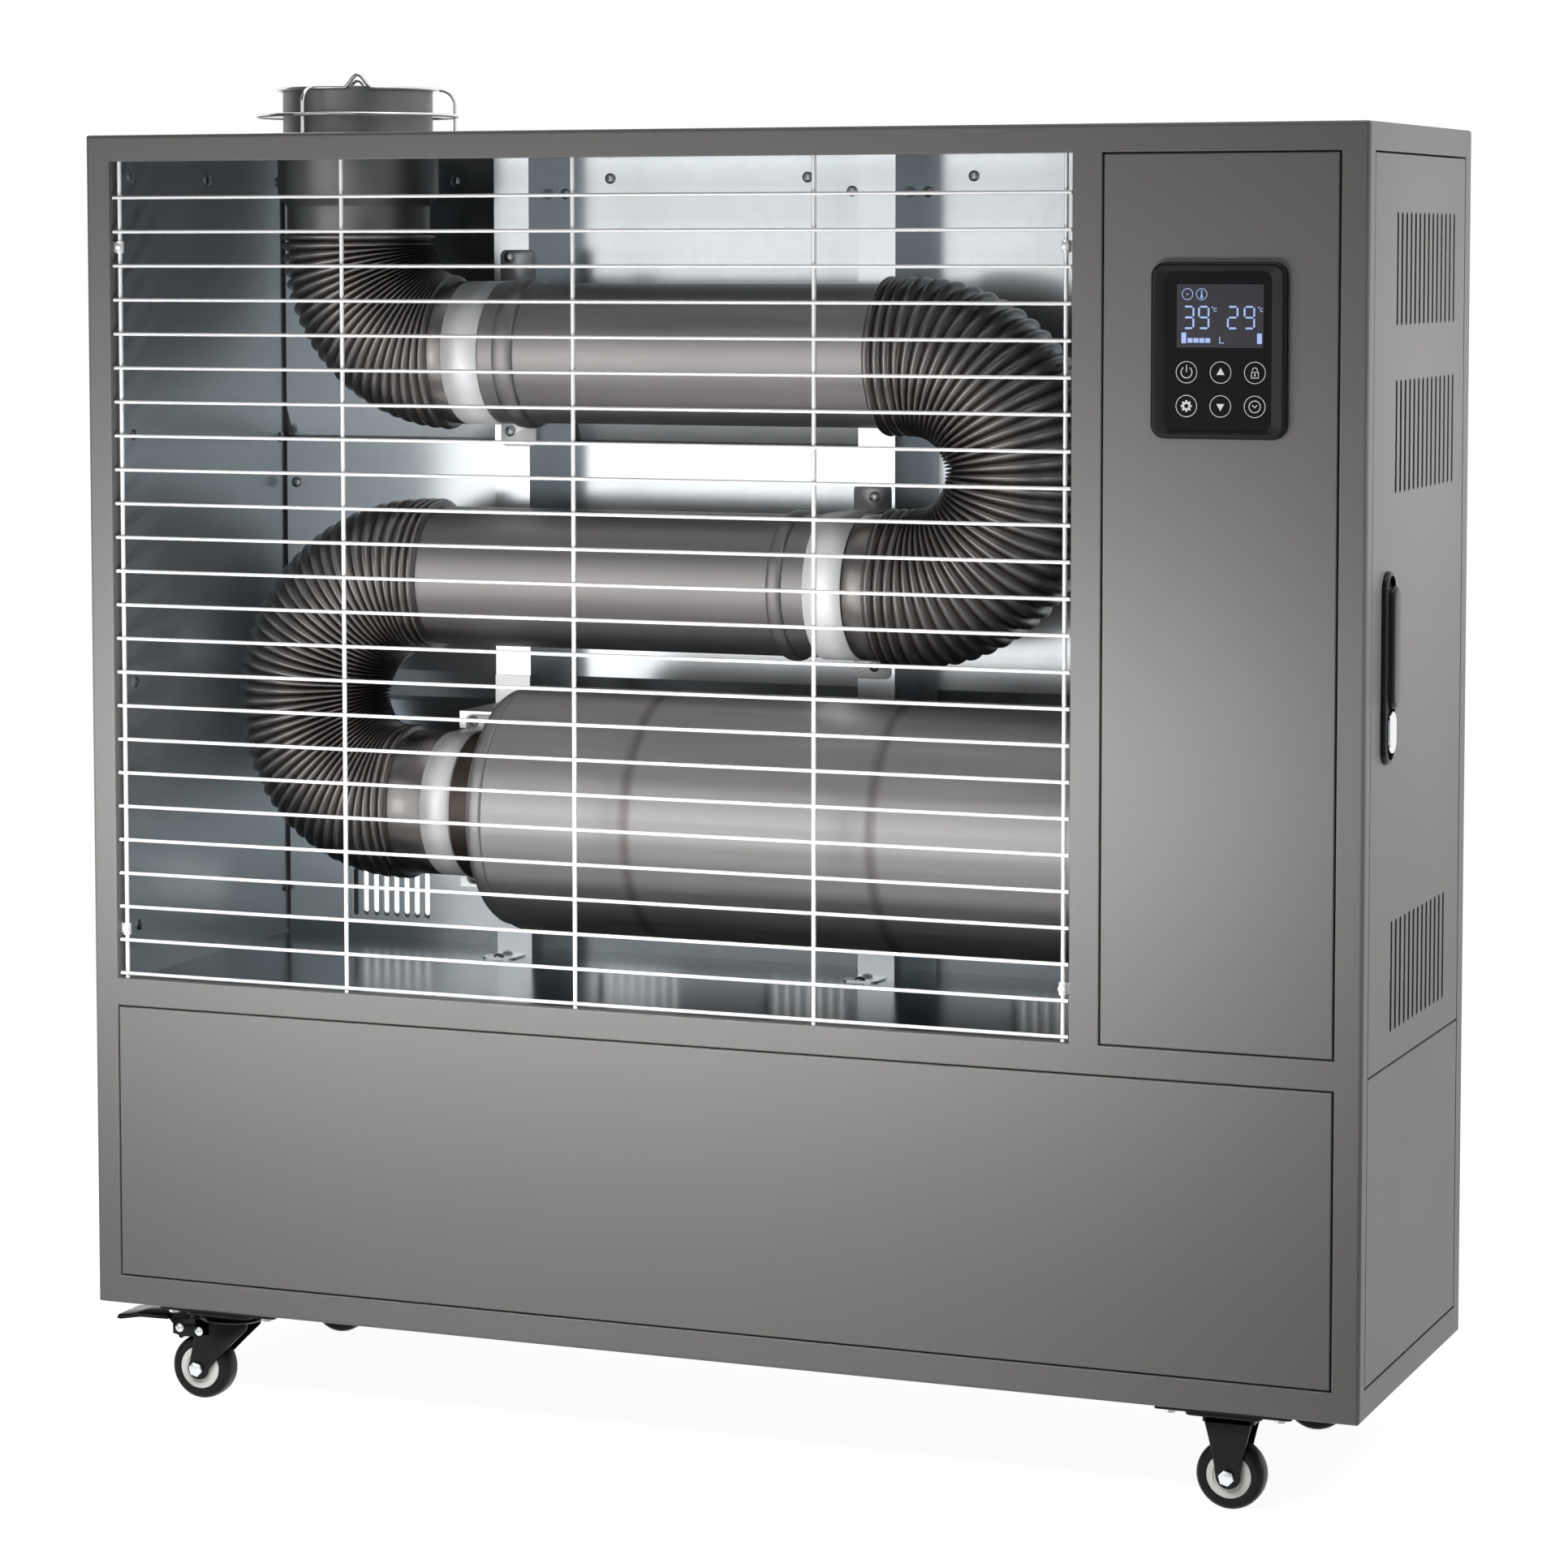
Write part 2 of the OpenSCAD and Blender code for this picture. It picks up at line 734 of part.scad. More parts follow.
// Stand-off that carries the neck's strap in front of the left post
module neck_bracket() color(bright) placed() {
  for (s = [1, -1]) translate([post_left_x, 0, drum_z]) mirror([0, 0, s > 0 ? 0 : 1]) {
    top = pipe_r + clamp_t + neck_tab;
    translate([0, bracket_y, pipe_r + clamp_t]) cube([post_w, clamp_t, neck_tab + clamp_t]);
    translate([0, bracket_y, top]) cube([post_w, post_y - bracket_y, clamp_t]);
    translate([0, post_y - clamp_t, top]) cube([post_w, clamp_t, 2 * neck_tab]);
  }
}

// Place along a bend: straight lead, arc that turns to +z, straight tail
function bend_at(s, lead, r, sweep) =
  let (arc = r * sweep * PI / 180, a = min(max(s - lead, 0) / arc, 1) * sweep, rest = max(s - lead - arc, 0))
  [min(s, lead) + r * sin(a) + rest * cos(a), r * (1 - cos(a)) + rest * sin(a), a];

// One ring of a bend's mesh, the bend's axis drifting sideways along its arc
function bend_ring(s, radius, lead, r, sweep, drift) =
  let (p = bend_at(s, lead, r, sweep), y = drift * (1 - cos(180 * p[2] / sweep)) / 2)
  [for (j = [0 : ring_n - 1]) let (c = radius * cos(360 * j / ring_n), b = radius * sin(360 * j / ring_n))
    [p[0] - c * sin(p[2]), y + b, p[1] + c * cos(p[2])]];

// Corrugated bend from the origin along +x, with its bore and a plain cuff at its end
module bend(lead, r, sweep, tail, ribs, cuff, drift) {
  length = lead + r * sweep * PI / 180 + tail;
  ribbed = length - cuff;
  outer = [for (i = [0 : 2 * ribs])
    bend_ring(ribbed * i / (2 * ribs), i % 2 == 1 ? rib_r : pipe_r, lead, r, sweep, drift)];
  cuffs = [for (s = [ribbed, length]) bend_ring(s, cuff_r, lead, r, sweep, drift)];
  steps = ceil(length / 20);
  bore = [for (i = [0 : steps]) bend_ring(length * (1 - i / steps), bend_bore_r, lead, r, sweep, drift)];
  rings = concat(outer, cuffs, bore);
  count = len(rings);
  quads = [for (i = [0 : count - 1], j = [0 : ring_n - 1])
    [i * ring_n + j, i * ring_n + (j + 1) % ring_n,
     (i + 1) % count * ring_n + (j + 1) % ring_n, (i + 1) % count * ring_n + j]];
  polyhedron([for (ring = rings, p = ring) p],
    [for (q = quads, t = [[q[0], q[1], q[2]], [q[0], q[2], q[3]]]) t]);
}

module flue_elbow() color(dark_steel) placed() {
  translate([flue_x, pipe_y, upper_z + elbow_r + spigot_l]) rotate([0, 90, 0])
    bend(spigot_l, elbow_r, 90, elbow_tail, elbow_ribs, elbow_tail, 0);
}

module right_bend() color(dark_steel) placed() {
  translate([pipe_right, pipe_y, upper_z]) mirror([0, 0, 1])
    bend(right_lead, (upper_z - middle_z) / 2, 180, bend_tail, right_ribs, right_cuff, 0);
}

module left_bend() color(dark_steel) placed() {
  translate([middle_left, pipe_y, middle_z]) rotate([0, 180, 0])
    bend(left_lead, (middle_z - drum_z) / 2, 180, bend_tail, left_ribs, left_cuff, drum_y - pipe_y);
}

// Outline of a pipe with a rolled bead and a spigot at each end, as radius and x
function bead(x0, x1) =
  [for (a = [0 : 22.5 : 180]) [pipe_r + bead_h * sin(a), (x0 + x1) / 2 - (x1 - x0) / 2 * cos(a)]];

module pipe_outline(x0, x1, beads) {
  outer = concat([[spigot_r, x0 - spigot_l], [spigot_r, x0], [pipe_r, x0]],
    [for (b = beads, p = bead(b[0], b[1])) p],
    [[pipe_r, x1], [spigot_r, x1], [spigot_r, x1 + spigot_l]]);
  inner = [[spigot_r - pipe_t, x1 + spigot_l], [spigot_r - pipe_t, x0 - spigot_l]];
  polygon(concat(outer, inner));
}

module upper_pipe() color(pipe_steel) placed() {
  x = upper_clamp_x + clamp_w + 14;
  translate([0, pipe_y, upper_z]) turned_x() pipe_outline(upper_clamp_x, pipe_right, [[x, x + 15]]);
}

module middle_pipe() color(pipe_steel) placed() {
  x = middle_clamp_x - 30;
  translate([0, pipe_y, middle_z]) turned_x()
    pipe_outline(middle_left, middle_clamp_x + clamp_w, [[x, x + 10]]);
}

module flue_collar() color(pipe_steel) placed() {
  under = body_h - sheet_t;
  low = upper_z + elbow_r + spigot_l;
  step = body_h - stub_h;
  translate([flue_x, pipe_y, 0]) rotate_extrude() polygon([
    [spigot_r, low - spigot_l], [spigot_r, low], [neck_r, low], [neck_r, step - 8], [stub_r, step],
    [stub_r, under], [collar_r, under], [collar_r, body_h + collar_h],
    [collar_r - pipe_t, body_h + collar_h], [collar_r - pipe_t, under - pipe_t],
    [stub_r - pipe_t, under - pipe_t], [stub_r - pipe_t, step + 1], [neck_r - pipe_t, step - 7],
    [neck_r - pipe_t, low + 2], [spigot_r - pipe_t, low],
    [spigot_r - pipe_t, low - spigot_l]
  ]);
}

module combustion_drum() color(pipe_steel) placed() {
  x = neck_x;
  s = shoulder_x;
  t = pipe_t;
  a = x - neck_clamp_w;
  translate([0, drum_y, drum_z]) turned_x() polygon([
    [spigot_r, a - spigot_l], [spigot_r, a], [pipe_r, a], [pipe_r, x], [pipe_r + 3, x],
    [pipe_r + 3, x + 22], [drum_r - 8, s - 15], [drum_r - 4, s - 11], [drum_r - 3, s - 6],
    [drum_r - 3, s - 2], [drum_r, s], [drum_r, wall_x - t], [drum_r + 10, wall_x - t],
    [drum_r + 10, wall_x], [tube_r + fit, wall_x], [tube_r + fit, wall_x - t],
    [drum_r - t, wall_x - t], [drum_r - t, s + 1], [drum_r - 3 - t, s - 1], [drum_r - 5 - t, s - 8],
    [drum_r - 9 - t, s - 13], [pipe_r + 1, x + 24], [pipe_r + 1, x + t],
    [spigot_r - t, x - t], [spigot_r - t, a - spigot_l]
  ]);
}

// Wire grille
module front_grille() color(bright) placed() {
  y_up = bar_y + bar_r + upright_r - weld;
  for (i = [0 : bars - 1]) {
    z = grille_low + (grille_high - grille_low) * i / (bars - 1);
    rod([grille_x0 + 2, bar_y, z], [grille_x1 - 1, bar_y, z], bar_r);
  }
  for (i = [0 : uprights - 1]) {
    x = grille_x0 + 6 + (grille_x1 - grille_x0 - 12) * i / (uprights - 1);
    rod([x, y_up, upper_z0], [x, y_up, upper_z1], upright_r);
  }
  for (s = [[grille_x0, 0], [grille_x1, 1]], z = [upper_z0 + 38, upper_z1 - 65]) {
    translate([s[0], y_up, z]) mirror([s[1], 0, 0]) {
      translate([0, -clip_h / 2, -clip_h / 2]) cube([sheet_t, clip_h, clip_h]);
      translate([0, 0, -clip_h / 2]) cube([6, sheet_t + upright_r, clip_h]);
    }
  }
}

module flue_guard() color(bright) placed() {
  r = guard_wire_r;
  blob = r + 0.1;
  stay = r - 0.1;
  top = collar_h - r;
  reach = asin(guard_peak_w / 2 / guard_top_r);
  curl = 6;
  translate([flue_x, pipe_y, body_h]) {
    for (z = [r, guard_mid_h]) translate([0, 0, z]) rotate_extrude() translate([guard_r, 0]) circle(r);
    for (a = peak_angles) {
      rotate([0, 0, a + reach]) translate([0, 0, top])
        rotate_extrude(angle = 180 - 2 * reach) translate([guard_top_r, 0]) circle(r);
      rotate([0, 0, a]) for (s = [1, -1]) {
        foot = [guard_top_r * cos(reach), s * guard_peak_w / 2, top];
        rod(foot, [guard_top_r, 0, top + guard_peak_h], r);
        translate(foot) sphere(blob);
      }
      rotate([0, 0, a]) translate([guard_top_r, 0, top + guard_peak_h]) sphere(blob);
    }
    for (i = [0 : 2]) rotate([0, 0, guard_upright_angle + 120 * i]) {
      x = guard_r - r - stay + weld;
      rod([x, 0, 0], [x, 0, top - curl], stay);
      translate([x - curl, 0, top - curl]) rotate([90, 0, 0])
        rotate_extrude(angle = 90) translate([curl, 0]) circle(stay);
      rod([guard_top_r, 0, top], [x - curl, 0, top], stay);
    }
  }
}

// Control unit
module control_bezel() color(black) placed() {
  translate([bezel_x, 0, bezel_z]) difference() {
    union() {
      translate([0, -bezel_out, 0]) intersection() {
        upright_xz(bezel_out) rounded_rect(bezel_w, bezel_h, bezel_r);
        linear_extrude(bezel_h) rounded_rect(bezel_w, 2 * bezel_out, bezel_edge);
        upright_yz(bezel_w) rounded_rect(2 * bezel_out, bezel_h, bezel_edge);
      }
      translate([bezel_rim - bezel_wall, 0, bezel_end - bezel_wall])
        cube([bezel_in_w + 2 * bezel_wall, bezel_depth, bezel_in_h + 2 * bezel_wall]);
    }
    translate([bezel_rim, -bezel_out - 1, bezel_end])
      upright_xz(touch_inset + touch_t + 1) rounded_rect(bezel_in_w, bezel_in_h, window_r);
    translate([bezel_rim + 2, -bezel_out, bezel_end + 2])
      cube([bezel_in_w - 4, bezel_depth + 2 * bezel_out, bezel_in_h - 4]);
  }
}

module touch_panel() color(gloss) placed() {
  translate([bezel_x + bezel_rim, touch_inset - bezel_out, bezel_z + bezel_end])
    upright_xz(touch_t) rounded_rect(bezel_in_w, bezel_in_h, window_r);
}

module circuit_boards() color("#1f6b3a") placed() {
  translate([bezel_x + bezel_rim + 2, bezel_depth - 6, bezel_z + bezel_end + 2]) {
    cube([bezel_in_w - 4, board_t, bezel_in_h - 4]);
    translate([8, -6, 46]) cube([56, 6, 40]);
    for (x = [10, 32, 54], z = [10, 30]) translate([x, -3, z]) cube([6, 3, 6]);
  }
  translate([wall_x + sheet_t, 70, drum_z + 175]) {
    for (y = [6, 114], z = [6, 154]) translate([0, y, z]) rotate([0, 90, 0]) cylinder(r = 3, h = 8);
    translate([8, 0, 0]) cube([board_t, 120, 160]);
    translate([8 + board_t, 15, 20]) cube([24, 34, 40]);
    for (z = [20, 50, 80]) translate([8 + board_t, 70, z]) cube([15, 19, 15]);
    for (z = [85, 115]) translate([8 + board_t, 30, z]) rotate([0, 90, 0]) cylinder(r = 8, h = 22);
    translate([8 + board_t, 20, 140]) cube([10, 80, 10]);
  }
}

// Burner
module burner_housing() color("#3a3c3e") placed() {
  t = case_t;
  x = wall_x + sheet_t;
  y0 = drum_y - fan_case_w / 2;
  side = 2 * tube_r + 6;
  root = 26;
  difference() {
    union() {
      translate([x, drum_y - 55, drum_z - 55]) rotate([90, 0, 90]) linear_extrude(flange_plate_t)
        rounded_rect(110, 110, 8);
      translate([x, drum_y - side / 2, drum_z - side / 2]) cube([root, side, side]);
      translate([x, y0, drum_z - side / 2]) cube([fan_x - x, fan_case_w, side]);
      translate([fan_x, y0, drum_z]) rotate([-90, 0, 0]) cylinder(r = fan_case_r, h = fan_case_w);
    }
    translate([x + flange_plate_t, drum_y - side / 2 + t, drum_z - side / 2 + t])
      cube([root - flange_plate_t - t, side - 2 * t, side - 2 * t]);
    translate([x + flange_plate_t, y0 + t, drum_z - side / 2 + t])
      cube([fan_x - x - flange_plate_t, fan_case_w - 2 * t, side - 2 * t]);
    translate([fan_x, y0 + t, drum_z]) rotate([-90, 0, 0])
      cylinder(r = fan_case_r - t, h = fan_case_w - 2 * t);
    translate([fan_x, y0 - 1, drum_z]) rotate([-90, 0, 0]) cylinder(r = shaft_r + 1, h = fan_case_w + 2);
    translate([x - 1, drum_y, drum_z]) rotate([0, 90, 0]) cylinder(r = tube_r, h = flange_plate_t + 2);
    for (a = [45 : 90 : 315]) translate([x - 1, drum_y + 64 * cos(a), drum_z + 64 * sin(a)])
      rotate([0, 90, 0]) cylinder(r = 3, h = 6);
  }
}

module burner_tube() color(bright) placed() {
  x0 = wall_x - tube_in;
  x1 = wall_x + sheet_t + flange_plate_t;
  translate([x0, drum_y, drum_z]) rotate([0, 90, 0]) difference() {
    cylinder(r = tube_r, h = x1 - x0);
    translate([0, 0, -1]) cylinder(r = tube_r - pipe_t, h = x1 - x0 + 2);
  }
}

module nozzle_assembly() color("#b08d4a") placed() {
  x0 = wall_x - tube_in + 8;
  translate([x0, drum_y, drum_z]) rotate([0, 90, 0]) {
    difference() {
      cylinder(r = tube_r - pipe_t, h = 2);
      for (a = [0 : 30 : 330]) rotate([0, 0, a]) translate([22, -1.5, -1]) cube([9, 3, 4]);
      translate([0, 0, -1]) cylinder(r = 8, h = 4);
    }
    difference() {
      cylinder(r = 8, h = 16);
      translate([0, 0, -1]) cylinder(r = 0.8, h = 6);
    }
    translate([0, 0, 16]) cylinder(r = 5, h = tube_in - 10);
    for (y = [-7, 7]) translate([13, y, -4]) cylinder(r = 1.6, h = tube_in);
  }
}

module burner_motor() color("#565a5e") placed() {
  y1 = drum_y - fan_case_w / 2;
  translate([fan_x, y1 - motor_l, drum_z]) rotate([-90, 0, 0]) difference() {
    union() {
      translate([0, 0, 3]) cylinder(r = motor_r, h = motor_l - 3);
      cylinder(r = motor_r - 4, h = motor_l);
      for (a = [0 : 30 : 330]) rotate([0, 0, a]) translate([motor_r - 1, -1.5, 10])
        cube([4, 3, motor_l - 22]);
    }
    translate([0, 0, 12]) cylinder(r = shaft_r + run_fit, h = motor_l);
  }
}

module fuel_pump() color("#9a9c98") placed() {
  y0 = drum_y + fan_case_w / 2;
  translate([fan_x, y0, drum_z]) rotate([-90, 0, 0]) difference() {
    union() {
      cylinder(r = 20, h = 18);
      translate([0, 0, 18]) cylinder(r = pump_r, h = 34);
      translate([-12, -40, 26]) cube([24, 24, 16]);
    }
    translate([0, 0, -1]) cylinder(r = shaft_r + run_fit, h = 25);
  }
}

module ignition_transformer() color("#2a2c30") placed() {
  translate([wall_x + sheet_t, drum_y - 40, drum_z + 95]) {
    cube([46, 80, 58]);
    translate([0, -8, 10]) cube([3, 96, 12]);
    for (y = [26, 54]) translate([28, y, -14]) cylinder(r = 6, h = 14);
  }
}

module blower_wheel() color("#b9bcbe") placed() {
  w = fan_case_w - 16;
  translate([fan_x, drum_y, drum_z]) rotate([-90, 0, 0]) {
    translate([0, 0, 16 - fan_case_w / 2 - motor_l]) cylinder(r = shaft_r, h = motor_l + fan_case_w + 3);
    translate([0, 0, w / 2 - 2]) cylinder(r = fan_r, h = 2);
    translate([0, 0, w / 2 - 16]) cylinder(r = 12, h = 16);
    translate([0, 0, -w / 2]) difference() {
      cylinder(r = fan_r, h = 2);
      translate([0, 0, -1]) cylinder(r = fan_r - 11, h = 4);
    }
    for (a = [0 : 15 : 345]) rotate([0, 0, a]) translate([fan_r - 10, -0.6, -w / 2]) cube([9, 1.2, w]);
  }
}

// Fuel system
module fuel_tank() color("#3d4043") placed() {
  size = [body_w - 2 * tank_side, body_d - tank_front - fold_w, tank_h];
  inner = size - [2 * tank_t, 2 * tank_t, 2 * tank_t];
  difference() {
    union() {
      translate([tank_side, tank_front, sheet_t]) cube(size);
      translate([filler_x, filler_y, tank_top - 1]) cylinder(r = filler_r, h = filler_h + 1);
      translate([filler_x, filler_y, filler_top - 8]) cylinder(r = filler_r + 2, h = 4);
    }
    translate([tank_side + tank_t, tank_front + tank_t, sheet_t + tank_t]) cube(inner);
    translate([filler_x, filler_y, tank_top - 2 * tank_t]) cylinder(r = filler_r - tank_t, h = filler_h + 10);
  }
}

module fuel_cap() color(black) placed() {
  translate([filler_x, filler_y, filler_top + fit]) {
    translate([0, 0, -10]) cylinder(r = filler_r - tank_t - fit, h = 10);
    cylinder(r = filler_r + 3, h = 9);
    translate([-filler_r, -3, 9]) cube([2 * filler_r, 6, 8]);
  }
}

module fuel_filter() color("#c9ccce") placed() {
  translate([filter_x, filter_y, filter_z]) {
    cylinder(r = filter_r - 4, h = 46);
    translate([0, 0, 46]) cylinder(r = filter_r, h = 14);
    translate([wall_x + sheet_t - filter_x, -10, 46]) cube([filter_x - wall_x, 20, 6]);
  }
}

module fuel_line() color("#b87333") placed() {
  pump = [fan_x, drum_y + fan_case_w / 2 + 34, drum_z + 40];
  feed = [
    [filter_x, filter_y, filter_z + 60], [filter_x, filter_y, pump[2] + 20],
    [filter_x, pump[1], pump[2] + 20], [pump[0], pump[1], pump[2] + 20], pump
  ];
  for (i = [0 : len(feed) - 2]) rod(feed[i], feed[i + 1], line_r);
  for (i = [1 : len(feed) - 2]) translate(feed[i]) sphere(line_r);
  rod([filter_x, filter_y, tank_top], [filter_x, filter_y, filter_z], line_r);
}

module cord_gland() color(black) placed() {
  translate([gland_x, 0, gland_z]) rotate([-90, 0, 0]) difference() {
    union() {
      translate([0, 0, body_d - 10]) cylinder(r = gland_r, h = 10 + gland_out - 6);
      translate([0, 0, body_d]) cylinder(r = gland_r + 4, h = 5);
      translate([0, 0, body_d - sheet_t - 5]) cylinder(r = gland_r + 4, h = 5, $fn = 6);
      translate([0, 0, body_d + gland_out - 6]) cylinder(r = gland_r - 2, h = 6);
    }
    translate([0, 0, body_d - 12]) cylinder(r = cord_r, h = gland_out + 14);
  }
}

// Screws, each standing on its sheet
module panel_screws() color(bright) placed() {
  for (p = rear_screws) translate([p[0], rear_y, p[1]]) screw_head();
  for (p = flange_screws) translate([p[0], rear_y - sheet_t, p[1]]) screw_head();
  for (p = liner_screws) translate([liner_x, p[0], p[1]]) rotate([0, 0, 90]) screw_head();
  for (p = tab_screws) translate([p[0], post_y - clamp_t, p[1]]) screw_head();
  for (s = [1, -1]) translate([neck_x - 17, bracket_y - clamp_t, drum_z]) {
    translate([0, 0, s * (cuff_r + neck_tab / 2)]) screw_head();
  }
  for (x = post_xs) translate([x + 5, post_y - foot_d / 2 - 1, floor_z + sheet_t])
    rotate([-90, 0, 0]) screw_head();
}

// Side door
module side_door() color(panel_paint) placed() {
  difference() {
    on_right_side() difference() {
      tray(door_y0, door_z0, door_y1, door_z1, door_depth);
      for (i = [0 : 2]) translate([vent_y, -1, vent_zs[i]]) upright_xz(4)
        slot_group(vent_counts[i], vent_pitch, vent_w, vent_h);
      for (z = [button_z + button_h / 2, spindle_z]) translate([handle_y, -1, z]) rotate([-90, 0, 0])
        cylinder(r = spindle_r + 1, h = 4);
      translate([door_y1 - 2, door_back_d, door_z0 - 1]) cube([4, door_depth, door_z1 - door_z0 + 2]);
      for (z = [door_z0 + sheet_t, door_z1 - sheet_t - hinge_notch]) {
        translate([door_y1 - 2 * sheet_t, sheet_t, z]) cube([3 * sheet_t, door_depth, hinge_notch]);
      }
    }
    translate([hinge_x, hinge_y, door_z0 - 1]) cylinder(r = pin_r + run_fit, h = door_z1 - door_z0 + 2);
  }
}

module door_hinges() color(zinc) placed() {
  for (s = [[door_z0 + sheet_t + slack, -1], [door_z1 - sheet_t - slack, 1]]) {
    translate([hinge_x, hinge_y, s[0]]) mirror([0, 0, s[1] > 0 ? 1 : 0]) {
      linear_extrude(2) {
        circle(arm_r);
        translate([seat_x - hinge_x, -4]) square([hinge_x - seat_x, 4 + fit]);
      }
      translate([0, 0, -slack - sheet_t - 0.2]) cylinder(r = pin_r, h = slack + sheet_t + 1);
    }
  }
}

module handle_base() color(black) placed() {
  translate([body_w, handle_y - handle_w / 2, handle_z]) difference() {
    upright_yz(handle_t) slot_shape(handle_w, handle_h);
    translate([1, 0, 0]) upright_yz(handle_t) {
      translate([handle_w / 2, spindle_z - handle_z]) circle(pocket_r);
      translate([(handle_w - button_w) / 2 - fit, button_z - handle_z - fit])
        slot_shape(button_w + 2 * fit, button_h + 2 * fit);
    }
    translate([-1, handle_w / 2, spindle_z - handle_z]) rotate([0, 90, 0])
      cylinder(r = spindle_r + run_fit, h = 5);
    translate([-1, handle_w / 2, button_z - handle_z + button_h / 2]) rotate([0, 90, 0])
      cylinder(r = stem_r + run_fit, h = 5);
  }
}

module lock_spindle() color(zinc) placed() {
  reach = lever_axis_x - body_w;
  translate([0, handle_y, spindle_z]) {
    translate([body_w - 19, 0, 0]) rotate([0, 90, 0]) cylinder(r = spindle_r, h = 20);
    translate([body_w, tongue_w / 2, 0]) rotate([90, 0, 0]) linear_extrude(tongue_w) difference() {
      union() {
        translate([0, -tongue_h / 2]) square([reach, tongue_h]);
        translate([reach, 0]) circle(tongue_h / 2);
      }
      translate([reach, 0]) circle(lever_pin_r + run_fit);
    }
    translate([body_w - 19, 0, 0]) upright_yz(3) {
      circle(9);
      translate([-7, 0]) square([14, cam_l]);
    }
  }
}

module handle_lever() color(black) placed() {
  x0 = body_w + handle_t + fit;
  z1 = spindle_z + 4;
  difference() {
    translate([x0, handle_y - lever_w / 2, z1 - lever_l]) upright_yz(lever_t) slot_shape(lever_w, lever_l);
    translate([x0 - 1, handle_y - tongue_w / 2 - fit, spindle_z - 7])
      cube([lever_t + 2, tongue_w + 2 * fit, 20]);
  }
  translate([lever_axis_x, handle_y + 7, spindle_z]) rotate([90, 0, 0]) cylinder(r = lever_pin_r, h = 14);
}

module lock_button() color(bright) placed() {
  translate([body_w + handle_t - 0.8, handle_y - button_w / 2, button_z])
    upright_yz(button_out + 0.8) slot_shape(button_w, button_h);
  translate([body_w - 6, handle_y, button_z + button_h / 2]) rotate([0, 90, 0])
    cylinder(r = stem_r, h = 6 + handle_t);
}

// Castors
module castor_top() {
  translate([-28, -28, -plate_t - flange_t]) linear_extrude(flange_t) rounded_rect(56, 56, 6);
}

module castor_plates() color(zinc) placed() {
  for (x = castor_xs, y = castor_ys) translate([x, y, 0]) {
    translate([-50, -28, -plate_t]) linear_extrude(plate_t) rounded_rect(100, 56, 3);
    if (x < body_w / 2) {
      castor_top();
      translate([0, 0, race_z]) cylinder(r = crown_r, h = race_h);
      translate([0, 0, crown_z - fit]) cylinder(r = king_r, h = race_z - crown_z + 1);
      translate([0, 0, crown_z - fit - 3]) cylinder(r = king_r + 4, h = 3);
    }
  }
}

// Side plate of a fork in x and z, the axle at x = -offset
module fork_side(offset, half) {
  top = race_z - fit;
  polygon([
    [-half, top], [half, top], [half - 2, crown_z - 2], [9 - offset, axle_z],
    [-9 - offset, axle_z], [2 - half, crown_z - 2]
  ]);
  translate([-offset, axle_z]) circle(9);
}

// Both fork sides with the axle, its head and its nut
module fork_frame(offset, half) {
  for (y = [fork_in, -fork_in - fork_t]) translate([0, y, 0]) upright_xz(fork_t) fork_side(offset, half);
  translate([-offset, fork_in + 4, axle_z]) rotate([90, 0, 0]) cylinder(r = axle_r, h = 2 * fork_in + 8);
  for (y = [fork_in + fork_t + 3, -fork_in - fork_t]) translate([-offset, y, axle_z]) rotate([90, 0, 0])
    cylinder(r = axle_r + 3, h = 3, $fn = 6);
}

module swivel_fork() {
  translate([0, 0, crown_z]) difference() {
    cylinder(r = crown_r, h = crown_t);
    translate([0, 0, -1]) cylinder(r = king_r + run_fit, h = 5);
  }
  fork_frame(trail, 19);
}

module fixed_forks() color(castor_black) placed() {
  for (y = castor_ys) translate([castor_xs[1], y, 0]) {
    castor_top();
    translate([-19, -fork_in - fork_t, crown_z])
      cube([38, 2 * (fork_in + fork_t), -crown_z - plate_t - flange_t]);
    fork_frame(0, 19);
  }
}

module front_swivel_fork() color(castor_black) placed() {
  translate([castor_xs[0], castor_ys[0], 0]) {
    swivel_fork();
    for (y = [fork_in, -fork_in - fork_t]) translate([0, y, 0]) upright_xz(fork_t) difference() {
      union() {
        translate([pedal_x, pedal_z]) circle(6);
        polygon([[pedal_x, pedal_z + 6], [-15, race_z - fit], [-15, pedal_z - 8], [pedal_x, pedal_z - 6]]);
      }
      translate([pedal_x, pedal_z]) circle(pedal_pin_r + run_fit);
    }
  }
}

module rear_swivel_fork() color(castor_black) placed() {
  translate([castor_xs[0], castor_ys[1], 0]) swivel_fork();
}

module brake_pedal() color(castor_black) placed() {
  w = 2 * (fork_in - slack);
  translate([castor_xs[0] + pedal_x, castor_ys[0], pedal_z]) {
    rotate([90, 0, 0]) cylinder(r = 4.5, h = w, center = true);
    rotate([90, 0, 0]) cylinder(r = pedal_pin_r, h = 2 * fork_in + 7, center = true);
    translate([0, w / 2, 0]) rotate([90, 0, 0]) linear_extrude(w) {
      polygon([[0, 4.4], [-8, 9], [-12, 9], [-12, 6], [-4.4, 0]]);
      polygon([[-3, -3], [-2.2, -9], [-0.6, -9.3], [4.4, 0]]);
    }
    translate([-pedal_l, -16, 6]) linear_extrude(3) rounded_rect(pedal_l - 9, 32, 6);
  }
}

